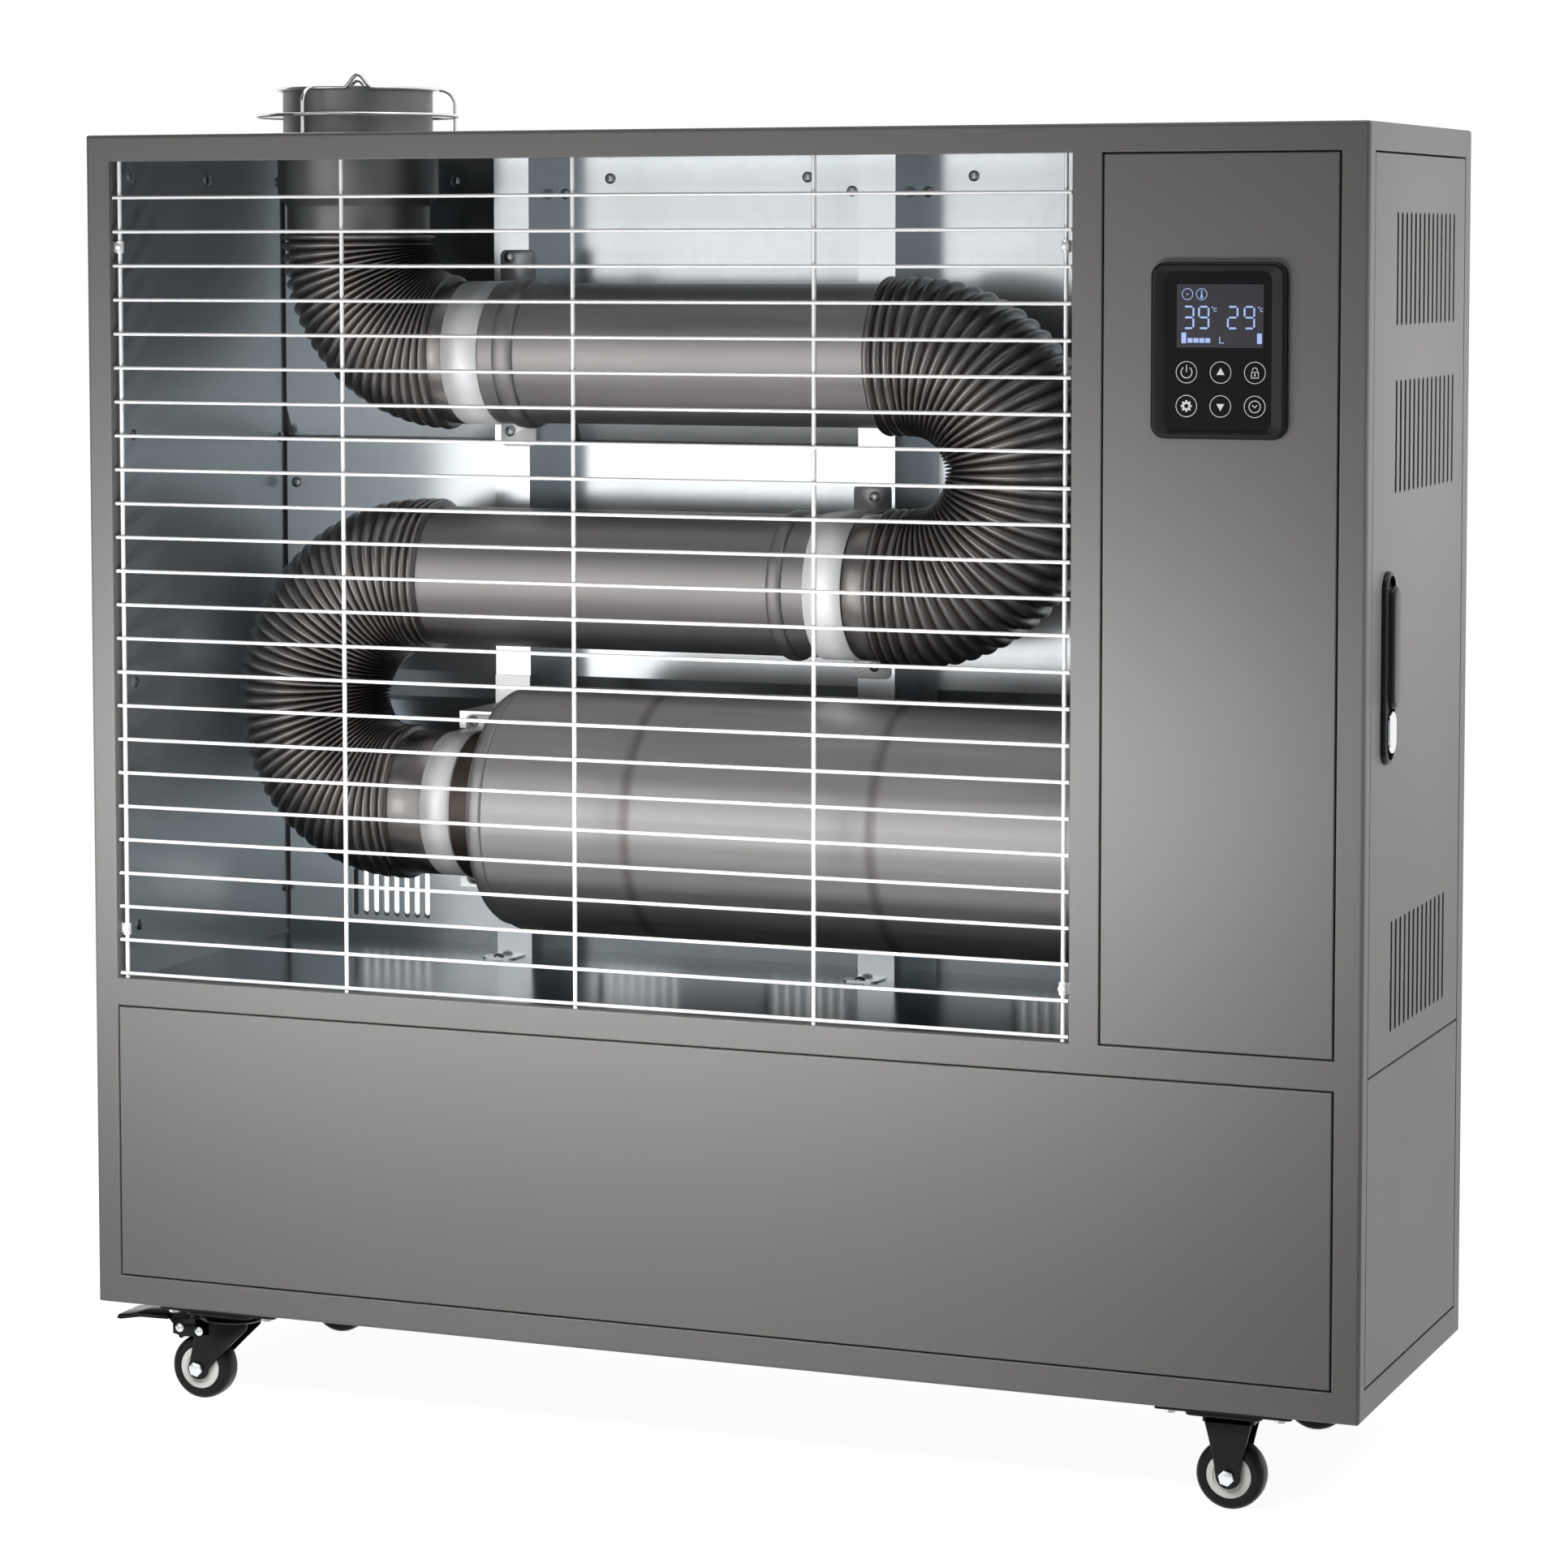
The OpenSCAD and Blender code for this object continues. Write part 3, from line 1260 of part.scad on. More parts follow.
// Wheel about an axis along y: tyre, pressed hub rings and a bore for the axle
module wheel(x, y) {
  w = wheel_w / 2;
  translate([x, y, axle_z]) rotate([90, 0, 0]) rotate_extrude($fn = 64) polygon([
    [axle_r + run_fit, -w], [9, -w], [9, 1.5 - w], [15, 1.5 - w], [16, 0.5 - w],
    [wheel_r - 3, 0.5 - w], [wheel_r - 0.8, 2.5 - w], [wheel_r, 5 - w], [wheel_r, w - 5],
    [wheel_r - 0.8, w - 2.5], [wheel_r - 3, w - 0.5], [16, w - 0.5], [15, w - 1.5], [9, w - 1.5],
    [9, w], [axle_r + run_fit, w]
  ]);
}

module front_left_wheel() color(castor_black) placed() wheel(castor_xs[0] - trail, castor_ys[0]);

module rear_left_wheel() color(castor_black) placed() wheel(castor_xs[0] - trail, castor_ys[1]);

module front_right_wheel() color(castor_black) placed() wheel(castor_xs[1], castor_ys[0]);

module rear_right_wheel() color(castor_black) placed() wheel(castor_xs[1], castor_ys[1]);

front_frame();
right_side_frame();
left_side_panel();
top_cover();
rear_cover();
base_pan();
lower_front_panel();
lower_side_panel();
control_column_panel();
left_liner();
ceiling_liner();
floor_reflector();
rear_reflector_upper();
rear_reflector_middle();
rear_reflector_lower();
partition();
posts();
combustion_drum();
neck_bracket();
neck_clamp();
left_bend();
middle_pipe();
right_bend();
upper_pipe();
flue_elbow();
flue_collar();
pipe_clamps();
front_grille();
flue_guard();
control_bezel();
touch_panel();
circuit_boards();
burner_housing();
burner_tube();
nozzle_assembly();
burner_motor();
fuel_pump();
ignition_transformer();
fuel_tank();
fuel_filter();
fuel_line();
cord_gland();
door_hinges();
castor_plates();
fixed_forks();
panel_screws();
side_door();
handle_base();
lock_spindle();
handle_lever();
lock_button();
blower_wheel();
fuel_cap();
front_swivel_fork();
rear_swivel_fork();
front_left_wheel();
rear_left_wheel();
front_right_wheel();
rear_right_wheel();
brake_pedal();
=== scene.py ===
import math

import bmesh
import bpy
from mathutils import Matrix, Vector


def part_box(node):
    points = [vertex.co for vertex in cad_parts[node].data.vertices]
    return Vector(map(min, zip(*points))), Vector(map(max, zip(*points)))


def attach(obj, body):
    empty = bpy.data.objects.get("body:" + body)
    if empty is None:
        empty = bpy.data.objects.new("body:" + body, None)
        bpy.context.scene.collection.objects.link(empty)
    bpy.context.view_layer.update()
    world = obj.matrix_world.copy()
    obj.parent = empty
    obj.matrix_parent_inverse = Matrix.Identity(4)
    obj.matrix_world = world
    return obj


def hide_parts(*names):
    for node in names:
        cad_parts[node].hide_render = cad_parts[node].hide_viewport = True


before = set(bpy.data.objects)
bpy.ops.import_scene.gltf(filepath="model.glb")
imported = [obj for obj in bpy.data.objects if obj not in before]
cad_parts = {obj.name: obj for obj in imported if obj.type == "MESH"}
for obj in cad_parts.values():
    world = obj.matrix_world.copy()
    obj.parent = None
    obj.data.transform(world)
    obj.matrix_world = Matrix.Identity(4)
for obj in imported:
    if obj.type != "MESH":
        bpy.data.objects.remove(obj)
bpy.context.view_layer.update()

# The camera stands to the right of the front, level with the upper part of the grille,
# with a long lens. Places are in millimetres from the cabinet's front left lower corner.
scene = bpy.context.scene
corner = Vector((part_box("left_side_panel")[0].x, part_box("front_frame")[0].y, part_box("base_pan")[0].z))


def at(x, y, z):
    return corner + Vector((x, y, z)) / 1000


def new_object(name, data):
    made = bpy.data.objects.new(name, data)
    scene.collection.objects.link(made)
    return made


camera_data = bpy.data.cameras.new("camera")
camera_data.sensor_width = 36
camera_data.lens = 103.445
camera_data.shift_x = 0.03
camera_data.shift_y = -0.13
camera = new_object("camera", camera_data)
yaw, pitch, roll = (math.radians(a) for a in (22.275, 4.216, -0.061))
turn = Matrix.Rotation(yaw, 4, "Z") @ Matrix.Rotation(math.pi / 2 - pitch, 4, "X")
turn = turn @ Matrix.Rotation(roll, 4, "Z")
camera.matrix_world = Matrix.Translation(at(1764.4, -2999.5, 814.0)) @ turn
bpy.context.scene.camera = camera

# The studio: a white sweep all round, a low wide softbox at the front left, one overhead,
# and a long thin lamp close to the front and a small one at the right that only light.
# Flags shape what metal mirrors.
scene.view_settings.view_transform = "Standard"


def fill(node, values):
    for name, value in values.items():
        node.inputs[name].default_value = value


def add_node(tree, kind, values=None, **settings):
    """A new shader node with its settings made and then its inputs filled."""
    node = tree.nodes.new("ShaderNode" + kind)
    for name, value in settings.items():
        setattr(node, name, value)
    fill(node, values or {})
    return node


def join(tree, *pairs):
    for start, end in pairs:
        tree.links.new(start, end)


def seen(tree):
    """1 for what the camera, metal and glass see, 0 for what lights the object."""
    rays = add_node(tree, "LightPath")
    total = rays.outputs["Is Camera Ray"]
    for name in ("Is Glossy Ray", "Is Transmission Ray"):
        larger = add_node(tree, "Math", operation="MAXIMUM")
        join(tree, (total, larger.inputs[0]), (rays.outputs[name], larger.inputs[1]))
        total = larger.outputs[0]
    return total


fill_level = 0.19
world = bpy.data.worlds.new("studio")
world.use_nodes = True
scene.world = world
tree = world.node_tree
backdrop = tree.nodes["Background"]
backdrop.inputs["Color"].default_value = (1, 1, 1, 1)
level = add_node(tree, "MapRange", {"To Min": fill_level, "To Max": 1.0})
join(tree, (seen(tree), level.inputs["Value"]), (level.outputs["Result"], backdrop.inputs["Strength"]))


def face_to(made, place, target):
    made.location = place
    made.rotation_euler = (Vector(target) - Vector(place)).to_track_quat("-Z", "Y").to_euler()


def softbox(name, place, target, width, height, power, mirrored=True):
    data = bpy.data.lights.new(name, "AREA")
    data.shape = "RECTANGLE"
    data.size = width
    data.size_y = height
    data.energy = power
    lamp = new_object(name, data)
    lamp.visible_glossy = mirrored
    face_to(lamp, place, target)


middle = (0, 0, 0.5)
softbox("front_softbox", (-1.5, -3.0, 0.45), middle, 1.6, 0.75, 5.2)
softbox("near_softbox", (-0.14, -0.54, 0.49), (-0.14, 0, 0.49), 1.0, 0.12, 7.6, mirrored=False)
softbox("side_softbox", (0.90, 0.0, 0.78), (0.5, 0, 0.78), 0.2, 0.3, 2.6, mirrored=False)
softbox("top_softbox", (0.2, -0.6, 3.2), middle, 2.2, 1.6, 18)


def new_material(name, values):
    """A material, its node tree and its shader, with values for the shader."""
    material = bpy.data.materials.new(name)
    material.use_nodes = True
    shader = material.node_tree.nodes["Principled BSDF"]
    fill(shader, values)
    return material, material.node_tree, shader


def new_mesh(name, bm, material):
    mesh = bpy.data.meshes.new(name)
    bm.to_mesh(mesh)
    bm.free()
    mesh.materials.append(material)
    return mesh


def card(name, colour, lit=0.0):
    return new_material(name, {"Base Color": (*colour, 1), "Roughness": 0.9, "Emission Color": (*colour, 1),
                               "Emission Strength": lit})[0]


cool_card = card("cool_card", (0.70, 0.80, 0.86), 0.17)
grey_card = card("grey_card", (0.46, 0.45, 0.44))


def flag(name, place, target, width, height, face):
    bm = bmesh.new()
    bmesh.ops.create_grid(bm, x_segments=1, y_segments=1, size=0.5)
    bmesh.ops.scale(bm, vec=(width, height, 1), verts=bm.verts)
    sheet = new_object(name, new_mesh(name, bm, face))
    face_to(sheet, place, target)
    sheet.visible_camera = False
    sheet.visible_diffuse = False
    sheet.visible_shadow = False
    sheet.visible_transmission = False


flag("flag_right", (1.5, -1.5, 0.6), (1.5, 0, 0.6), 2.4, 1.7, cool_card)
flag("flag_left", (-4.2, -1.4, 0.9), middle, 3.2, 3.2, grey_card)
flag("flag_top", (-0.6, -1.3, 2.3), middle, 6.0, 2.0, grey_card)
flag("flag_low", (-0.6, -0.70, 0.004), (-0.6, -0.70, 1), 6.0, 0.7, grey_card)

# A plain pale floor that keeps the soft shadow of the object and is as white as the
# sweep elsewhere.
floor_paint, tree, matt = new_material("studio_floor", {"Base Color": (0.45, 0.45, 0.45, 1),
                                                        "Roughness": 0.9, "Specular IOR Level": 0.0})
glow = add_node(tree, "Emission", {"Color": (1, 1, 1, 1)})
glow_level = add_node(tree, "Math", {1: 0.93}, operation="MULTIPLY")
both = add_node(tree, "AddShader")
join(tree, (seen(tree), glow_level.inputs[0]), (glow_level.outputs[0], glow.inputs["Strength"]),
     (matt.outputs[0], both.inputs[0]), (glow.outputs[0], both.inputs[1]),
     (both.outputs[0], tree.nodes["Material Output"].inputs["Surface"]))
bm = bmesh.new()
bmesh.ops.create_circle(bm, cap_ends=True, segments=64, radius=14)
ground = new_object("floor", new_mesh("floor", bm, floor_paint))

# Cabinet shell and its inset panels: folded steel sheet with a satin powder coat, in
# a warm dark grey, with the faint orange peel of sprayed powder.
def effect(name, inputs, outputs):
    """An empty node group with its named sockets."""
    group = bpy.data.node_groups.new(name, "ShaderNodeTree")
    for label, kind, value in inputs:
        group.interface.new_socket(label, in_out="INPUT", socket_type=kind).default_value = value
    for label, kind in outputs:
        group.interface.new_socket(label, in_out="OUTPUT", socket_type=kind)
    return group, group.nodes.new("NodeGroupInput"), group.nodes.new("NodeGroupOutput")


grain, taken, given = effect(
    "grain",
    [("Stretch", "NodeSocketVector", (1, 1, 1)), ("Scale", "NodeSocketFloat", 400.0),
     ("Depth", "NodeSocketFloat", 0.00002), ("Cloud", "NodeSocketFloat", 6.0)],
    [("Mask", "NodeSocketFloat"), ("Clouds", "NodeSocketFloat"), ("Normal", "NodeSocketVector")])
where = add_node(grain, "TexCoord").outputs["Object"]
stretched = add_node(grain, "VectorMath", operation="MULTIPLY")
fine = add_node(grain, "TexNoise", {"Detail": 3})
clouds = add_node(grain, "TexNoise", {"Detail": 2})
relief = add_node(grain, "Bump", {"Strength": 1.0})
join(grain, (where, stretched.inputs[0]), (taken.outputs["Stretch"], stretched.inputs[1]),
     (stretched.outputs[0], fine.inputs["Vector"]), (taken.outputs["Scale"], fine.inputs["Scale"]),
     (where, clouds.inputs["Vector"]), (taken.outputs["Cloud"], clouds.inputs["Scale"]),
     (taken.outputs["Depth"], relief.inputs["Distance"]), (fine.outputs["Fac"], relief.inputs["Height"]),
     (fine.outputs["Fac"], given.inputs["Mask"]), (clouds.outputs["Fac"], given.inputs["Clouds"]),
     (relief.outputs["Normal"], given.inputs["Normal"]))


def vary(tree, shader, colours, mask, rough, haze, span=(0, 1)):
    """Runs the colour between two by a mask, and the roughness between two by the haze."""
    tint = add_node(tree, "Mix", {"A": (*colours[0], 1), "B": (*colours[1], 1)}, data_type="RGBA")
    polish = add_node(tree, "MapRange", {"From Min": span[0], "From Max": span[1], "To Min": rough[0],
                                         "To Max": rough[1]})
    join(tree, (mask, tint.inputs["Factor"]), (tint.outputs["Result"], shader.inputs["Base Color"]),
         (haze, polish.inputs["Value"]), (polish.outputs["Result"], shader.inputs["Roughness"]))


def finish(name, colour, shade, rough, scale, depth, stretch=(1, 1, 1), metallic=0.0, cloud=6.0, weight=0.5,
           shine=0.5):
    """A material whose colour runs to a shade with its clouds and whose grain roughens it."""
    material, tree, shader = new_material(name, {"Metallic": metallic, "Specular IOR Level": shine})
    surface = add_node(tree, "Group", {"Stretch": stretch, "Scale": scale, "Depth": depth, "Cloud": cloud},
                       node_tree=grain)
    blend = add_node(tree, "Mix", {"Factor": weight}, data_type="FLOAT")
    join(tree, (surface.outputs["Clouds"], blend.inputs["A"]), (surface.outputs["Mask"], blend.inputs["B"]),
         (surface.outputs["Normal"], shader.inputs["Normal"]))
    mixed = blend.outputs["Result"]
    vary(tree, shader, (colour, shade), mixed, rough, mixed, (0.3, 0.7))
    return material


def coat_nodes(material, slot, *names):
    """Gives CAD nodes that keep their own shape a finish."""
    for name in names:
        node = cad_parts[name]
        node.data.materials.clear()
        node.data.materials.append(material)


cabinet_paint = finish("powder_coat", (0.128, 0.125, 0.121), (0.138, 0.135, 0.131), (0.38, 0.44), 900,
                       0.000012)
panel_paint = finish("panel_powder_coat", (0.131, 0.128, 0.124), (0.141, 0.138, 0.134), (0.38, 0.44), 900,
                     0.000012)
coat_nodes(cabinet_paint, "cabinet_paint", "front_frame", "right_side_frame", "left_side_panel", "top_cover",
           "rear_cover", "base_pan")
coat_nodes(panel_paint, "panel_paint", "lower_front_panel", "lower_side_panel", "control_column_panel",
           "side_door")

# Heating chamber: liners, reflectors and posts of bright galvanised sheet, mirror
# smooth, with the faint leaf pattern of the zinc, folded and screwed together.
spangle, taken, given = effect("spangle", [("Size", "NodeSocketFloat", 90.0)],
                               [("Leaf", "NodeSocketFloat"), ("Haze", "NodeSocketFloat")])
where = add_node(spangle, "TexCoord").outputs["Object"]
bent = add_node(spangle, "TexNoise", {"Scale": 40})
shifted = add_node(spangle, "Mix", {"Factor": 0.04}, data_type="RGBA")
leaves = add_node(spangle, "TexVoronoi")
grey = add_node(spangle, "SeparateColor")
haze = add_node(spangle, "TexNoise", {"Scale": 7})
join(spangle, (where, bent.inputs["Vector"]), (where, shifted.inputs["A"]),
     (bent.outputs["Color"], shifted.inputs["B"]), (shifted.outputs["Result"], leaves.inputs["Vector"]),
     (taken.outputs["Size"], leaves.inputs["Scale"]), (leaves.outputs["Color"], grey.inputs["Color"]),
     (grey.outputs["Red"], given.inputs["Leaf"]), (where, haze.inputs["Vector"]),
     (haze.outputs["Fac"], given.inputs["Haze"]))


def galvanised(name, dark, light, rough, metallic=1.0):
    material, tree, shader = new_material(name, {"Metallic": metallic})
    pattern = add_node(tree, "Group", node_tree=spangle)
    vary(tree, shader, (dark, light), pattern.outputs["Leaf"], rough, pattern.outputs["Haze"])
    return material


zinc_sheet = galvanised("galvanised_sheet", (0.62, 0.655, 0.675), (0.64, 0.675, 0.695), (0.18, 0.21),
                        metallic=0.92)
# the floor reflector gets a much darker copy of the galvanised sheet, with the same roughness
darker_floor_sheet = galvanised("darker_floor_sheet", (0.24, 0.265, 0.28), (0.26, 0.285, 0.30), (0.18, 0.22))
# the left liner's darker, bluer copy of the galvanised sheet is painted shade for the chamber's dim left
# wall
liner_sheet_painted_shade = galvanised("liner_sheet_painted_shade", (0.52, 0.58, 0.61), (0.54, 0.60, 0.63), (0.22, 0.28), metallic=0.84)
coat_nodes(liner_sheet_painted_shade, "galvanised", "left_liner")
coat_nodes(zinc_sheet, "galvanised", "ceiling_liner", "rear_reflector_upper", "rear_reflector_middle",
           "rear_reflector_lower", "partition", "posts")
coat_nodes(darker_floor_sheet, "galvanised", "floor_reflector")

# Corrugated bends of the gas run: thin stainless tube, rolled into ribs and bent by
# hand, darkened by heat. Each has a plain cuff that slips over the next pipe.
bend_steel = finish("bend_steel", (0.385, 0.364, 0.352), (0.440, 0.418, 0.406), (0.27, 0.35), 500, 0.000008,
                    metallic=1.0, cloud=9.0)
pipe_r, rib_r, cuff_r, bore_r = 54.0, 60.0, 55.5, 52.0
flue_x, pipe_y, drum_y = 146.0, 169.5, 129.0
upper_z, middle_z, drum_z = 733.0, 559.0, 385.0


def verts_of(geom):
    return [g for g in geom if isinstance(g, bmesh.types.BMVert)]


def piece(name, bm, material, body, replaced=(), angle=40):
    """Turns a bmesh into a finished piece that rides on a body."""
    bmesh.ops.remove_doubles(bm, verts=bm.verts, dist=1e-6)
    bmesh.ops.recalc_face_normals(bm, faces=bm.faces)
    mesh = new_mesh(name, bm, material)
    mesh.shade_smooth()
    mesh.set_sharp_from_angle(angle=math.radians(angle))
    made = new_object(name, mesh)
    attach(made, body)
    if replaced:
        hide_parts(*replaced)
    return made


def along(s, lead, radius, sweep):
    """Distance along and up, and the turn, at s of a lead and an arc that turns to +z."""
    arc = radius * math.radians(sweep)
    turned = math.radians(min(max(s - lead, 0) / arc, 1) * sweep)
    rest = max(s - lead - arc, 0)
    return (min(s, lead) + radius * math.sin(turned) + rest * math.cos(turned),
            radius * (1 - math.cos(turned)) + rest * math.sin(turned), turned)


def corrugated(name, place, lead, radius, sweep, tail, ribs, cuff, drift, replaced):
    """A ribbed tube along a lead, an arc and a tail with a plain cuff, shifted sideways by drift."""
    length = lead + radius * math.radians(sweep) + tail
    ribbed = length - cuff
    steps = 8 * ribs

    def ring(s, r):
        x, z, turned = along(s, lead, radius, sweep)
        share = turned / math.radians(sweep)
        side = drift * (1 - math.cos(math.pi * share)) / 2
        pose = Matrix.Translation((x / 1000, side / 1000, z / 1000)) @ Matrix.Rotation(-turned, 4, "Y")
        pose = place @ pose @ Matrix.Rotation(math.pi / 2, 4, "Y")
        return pose @ Matrix.Diagonal((r / 1000, r / 1000, 1, 1))

    def rib(i):
        swell = abs(math.sin(math.pi * i / 8)) ** 0.75
        return pipe_r + 0.3 + (rib_r - pipe_r - 0.3) * swell

    rings = [ring(ribbed * i / steps, rib(i)) for i in range(steps + 1)]
    rings += [ring(s, r) for s, r in ((ribbed + 0.5, cuff_r - 0.4), (ribbed + 1.5, cuff_r),
                                      (length - 0.4, cuff_r), (length, cuff_r - 0.4), (length, bore_r))]
    rings += [ring(length * (1 - i / 24), bore_r) for i in range(1, 25)]
    bm = bmesh.new()
    verts = bmesh.ops.create_circle(bm, segments=64, radius=1)["verts"]
    bmesh.ops.transform(bm, matrix=rings[0], verts=verts)
    first = list(bm.edges)
    edges = first
    for low, high in zip(rings, rings[1:]):
        grown = bmesh.ops.extrude_edge_only(bm, edges=edges)["geom"]
        verts = verts_of(grown)
        fresh = set(verts)
        edges = [g for g in grown if isinstance(g, bmesh.types.BMEdge) and fresh.issuperset(g.verts)]
        bmesh.ops.transform(bm, matrix=high @ low.inverted(), verts=verts)
    bmesh.ops.bridge_loops(bm, edges=first + edges)
    return piece(name, bm, bend_steel, "cabinet", replaced, angle=70)


def shown_from(x, y, z, *turns):
    """A place in millimetres with the turns of the axes there, in degrees."""
    pose = Matrix.Translation(at(x, y, z))
    for axis, degrees in turns:
        pose = pose @ Matrix.Rotation(math.radians(degrees), 4, axis)
    return pose


flip = Matrix.Diagonal((1, 1, -1, 1))
corrugated("elbow_tube", shown_from(flue_x, pipe_y, upper_z + 93, ("Y", 90)), 9, 84, 90, 13, 22, 13, 0,
           ["flue_elbow"])
corrugated("right_bend_tube", shown_from(588, pipe_y, upper_z) @ flip, 23, 87, 180, 38.6, 41, 16.5, 0,
           ["right_bend"])
corrugated("left_bend_tube", shown_from(219, pipe_y, middle_z, ("Y", 180)), 16, 87, 180, 40, 44, 29,
           drum_y - pipe_y, ["left_bend"])

# Plain pipes between the bends: rolled and welded stainless tube, satin, with a rolled
# bead near the strap and a narrow spigot at each end. Heat has tinted them brown grey.
pipe_steel = finish("pipe_steel", (0.370, 0.350, 0.342), (0.580, 0.565, 0.560), (0.42, 0.50), 60, 0.000006,
                    stretch=(0.1, 1.6, 1.6), metallic=1.0, cloud=3.0, weight=0.8)


def lathe(bm, verts, centre, axis, steps):
    """Spins a closed outline once round an axis."""
    edges = [bm.edges.new(pair) for pair in zip(verts, verts[1:] + verts[:1])]
    bmesh.ops.spin(bm, geom=verts + edges, cent=centre, axis=axis, dvec=(0, 0, 0), angle=2 * math.pi,
                   steps=steps, use_merge=True)


def turned(name, outline, place, material, slot, replaced=(), body="cabinet", steps=96):
    """A closed outline of distance along x and radius, in millimetres, spun about x and placed."""
    bm = bmesh.new()
    lathe(bm, [bm.verts.new((x / 1000, 0, r / 1000)) for x, r in outline], (0, 0, 0), (1, 0, 0), steps)
    bmesh.ops.transform(bm, matrix=place, verts=bm.verts)
    piece(name, bm, material, body, replaced, 30)


def rolled(x0, x1, height):
    """Points of a rounded ridge between two distances along a pipe."""
    return [((x0 + x1) / 2 - (x1 - x0) / 2 * math.cos(math.pi * i / 12),
             pipe_r + height * math.sin(math.pi * i / 12) ** 0.8) for i in range(13)]


spigot_r, wall = 50.7, 1.5


def pipe_outline(x0, x1, ridge):
    """Spigots, plain wall and one ridge, with points by each edge that keep the long faces flat."""
    outline = [(x0 - 9, spigot_r), (x0, spigot_r), (x0, pipe_r - 0.5), (x0 + 0.5, pipe_r), (x0 + 3, pipe_r)]
    outline += [(ridge[0][0] - 2, pipe_r)] + ridge + [(ridge[-1][0] + 2, pipe_r)]
    outline += [(x1 - 3, pipe_r), (x1 - 0.5, pipe_r), (x1, pipe_r - 0.5), (x1, spigot_r), (x1 + 9, spigot_r)]
    return outline + [(x1 + 9, spigot_r - wall), (x0 - 9, spigot_r - wall)]


turned("upper_pipe_tube", pipe_outline(243, 588, rolled(286, 303, 4.2)), shown_from(0, pipe_y, upper_z),
       pipe_steel, "flue_steel", ["upper_pipe"])
turned("middle_pipe_tube", pipe_outline(219, 571, rolled(511.5, 523.5, 3.4)),
       shown_from(0, pipe_y, middle_z), pipe_steel, "flue_steel", ["middle_pipe"])

# Combustion drum: rolled stainless sheet with two welded seams, darkened by painted shade
# and heat tint, a flange at the burner's end, and a pressed shoulder that narrows to a neck
# with a band of painted shade in its recess.
drum_steel = finish("drum_steel", (0.440, 0.424, 0.420), (0.690, 0.680, 0.680), (0.42, 0.50), 60, 0.000006,
                    stretch=(0.1, 1.6, 1.6), metallic=1.0, cloud=3.0, weight=0.8)
drum_r = 94.0
seams = (430, 625)


def seam_shade_and_heat_tint(material):
    """Darkens the drum's steel softly along its two weld seams: painted shade of the grooves, with some heat
    tint.
    """
    tree = material.node_tree
    shader = tree.nodes["Principled BSDF"]
    plain = shader.inputs["Base Color"].links[0].from_socket
    apart = add_node(tree, "SeparateXYZ")
    most = add_node(tree, "Math", operation="MAXIMUM")
    tint = add_node(tree, "Mix", {"B": (0.16, 0.135, 0.128, 1)}, data_type="RGBA")
    join(tree, (add_node(tree, "TexCoord").outputs["Object"], apart.inputs[0]),
         (most.outputs[0], tint.inputs["Factor"]), (plain, tint.inputs["A"]),
         (tint.outputs["Result"], shader.inputs["Base Color"]))
    for x, mark in zip(seams, most.inputs):
        away = add_node(tree, "Math", {1: at(x, 0, 0).x}, operation="SUBTRACT")
        off = add_node(tree, "Math", operation="ABSOLUTE")
        near = add_node(tree, "MapRange", {"From Min": 0.0, "From Max": 0.008, "To Min": 0.5, "To Max": 0.0},
                        interpolation_type="SMOOTHSTEP")
        join(tree, (apart.outputs["X"], away.inputs[0]), (away.outputs[0], off.inputs[0]),
             (off.outputs[0], near.inputs["Value"]), (near.outputs["Result"], mark))


seam_shade_and_heat_tint(drum_steel)


def seam(x):
    """A shallow soft groove round the drum."""
    groove = [(x + i, drum_r - 0.2 * (1 + math.cos(math.pi * i / 5))) for i in range(-5, 6)]
    return [(x - 8, drum_r), *groove, (x + 8, drum_r)]


turned("drum_shell", [(234, spigot_r), (243, spigot_r), (243, pipe_r - 0.4), (243.4, pipe_r),
                      (266.6, pipe_r), (267, pipe_r + 0.4), (267, pipe_r + 2.4), (267.6, pipe_r + 3),
                      (289, pipe_r + 3), (296.5, drum_r - 9), (299, drum_r - 5.5), (302, drum_r - 3.4),
                      (305, drum_r - 3), (309.2, drum_r - 3), (310.4, drum_r - 3.8), (311.6, drum_r - 1),
                      (313, drum_r), (317, drum_r), *seam(seams[0]), *seam(seams[1]), (790, drum_r),
                      (794.5, drum_r), (794.5, drum_r + 10), (796, drum_r + 10), (796, 36.3), (794.5, 36.3),
                      (794.5, drum_r - wall), (313, drum_r - wall), (311, drum_r - 5), (304, drum_r - 6.5),
                      (299, drum_r - 10), (291, pipe_r + 1), (268.5, pipe_r + 1), (265.5, spigot_r - wall),
                      (234, spigot_r - wall)],
       shown_from(0, drum_y, drum_z), drum_steel, "flue_steel", ["combustion_drum"], steps=128)

# painted shade: a near-black band laid over the neck's recess, where the shade falls
neck_shade_steel = finish("neck_shade_steel", (0.115, 0.094, 0.084), (0.140, 0.116, 0.105), (0.42, 0.50), 300,
                      0.000006, metallic=1.0, cloud=4.0)
turned("drum_neck_shade_band", [(268.6, pipe_r + 2), (268.6, pipe_r + 3.1), (269, pipe_r + 3.4),
                          (286.6, pipe_r + 3.4), (287, pipe_r + 3.1), (287, pipe_r + 2)],
       shown_from(0, drum_y, drum_z), neck_shade_steel, "flue_steel")

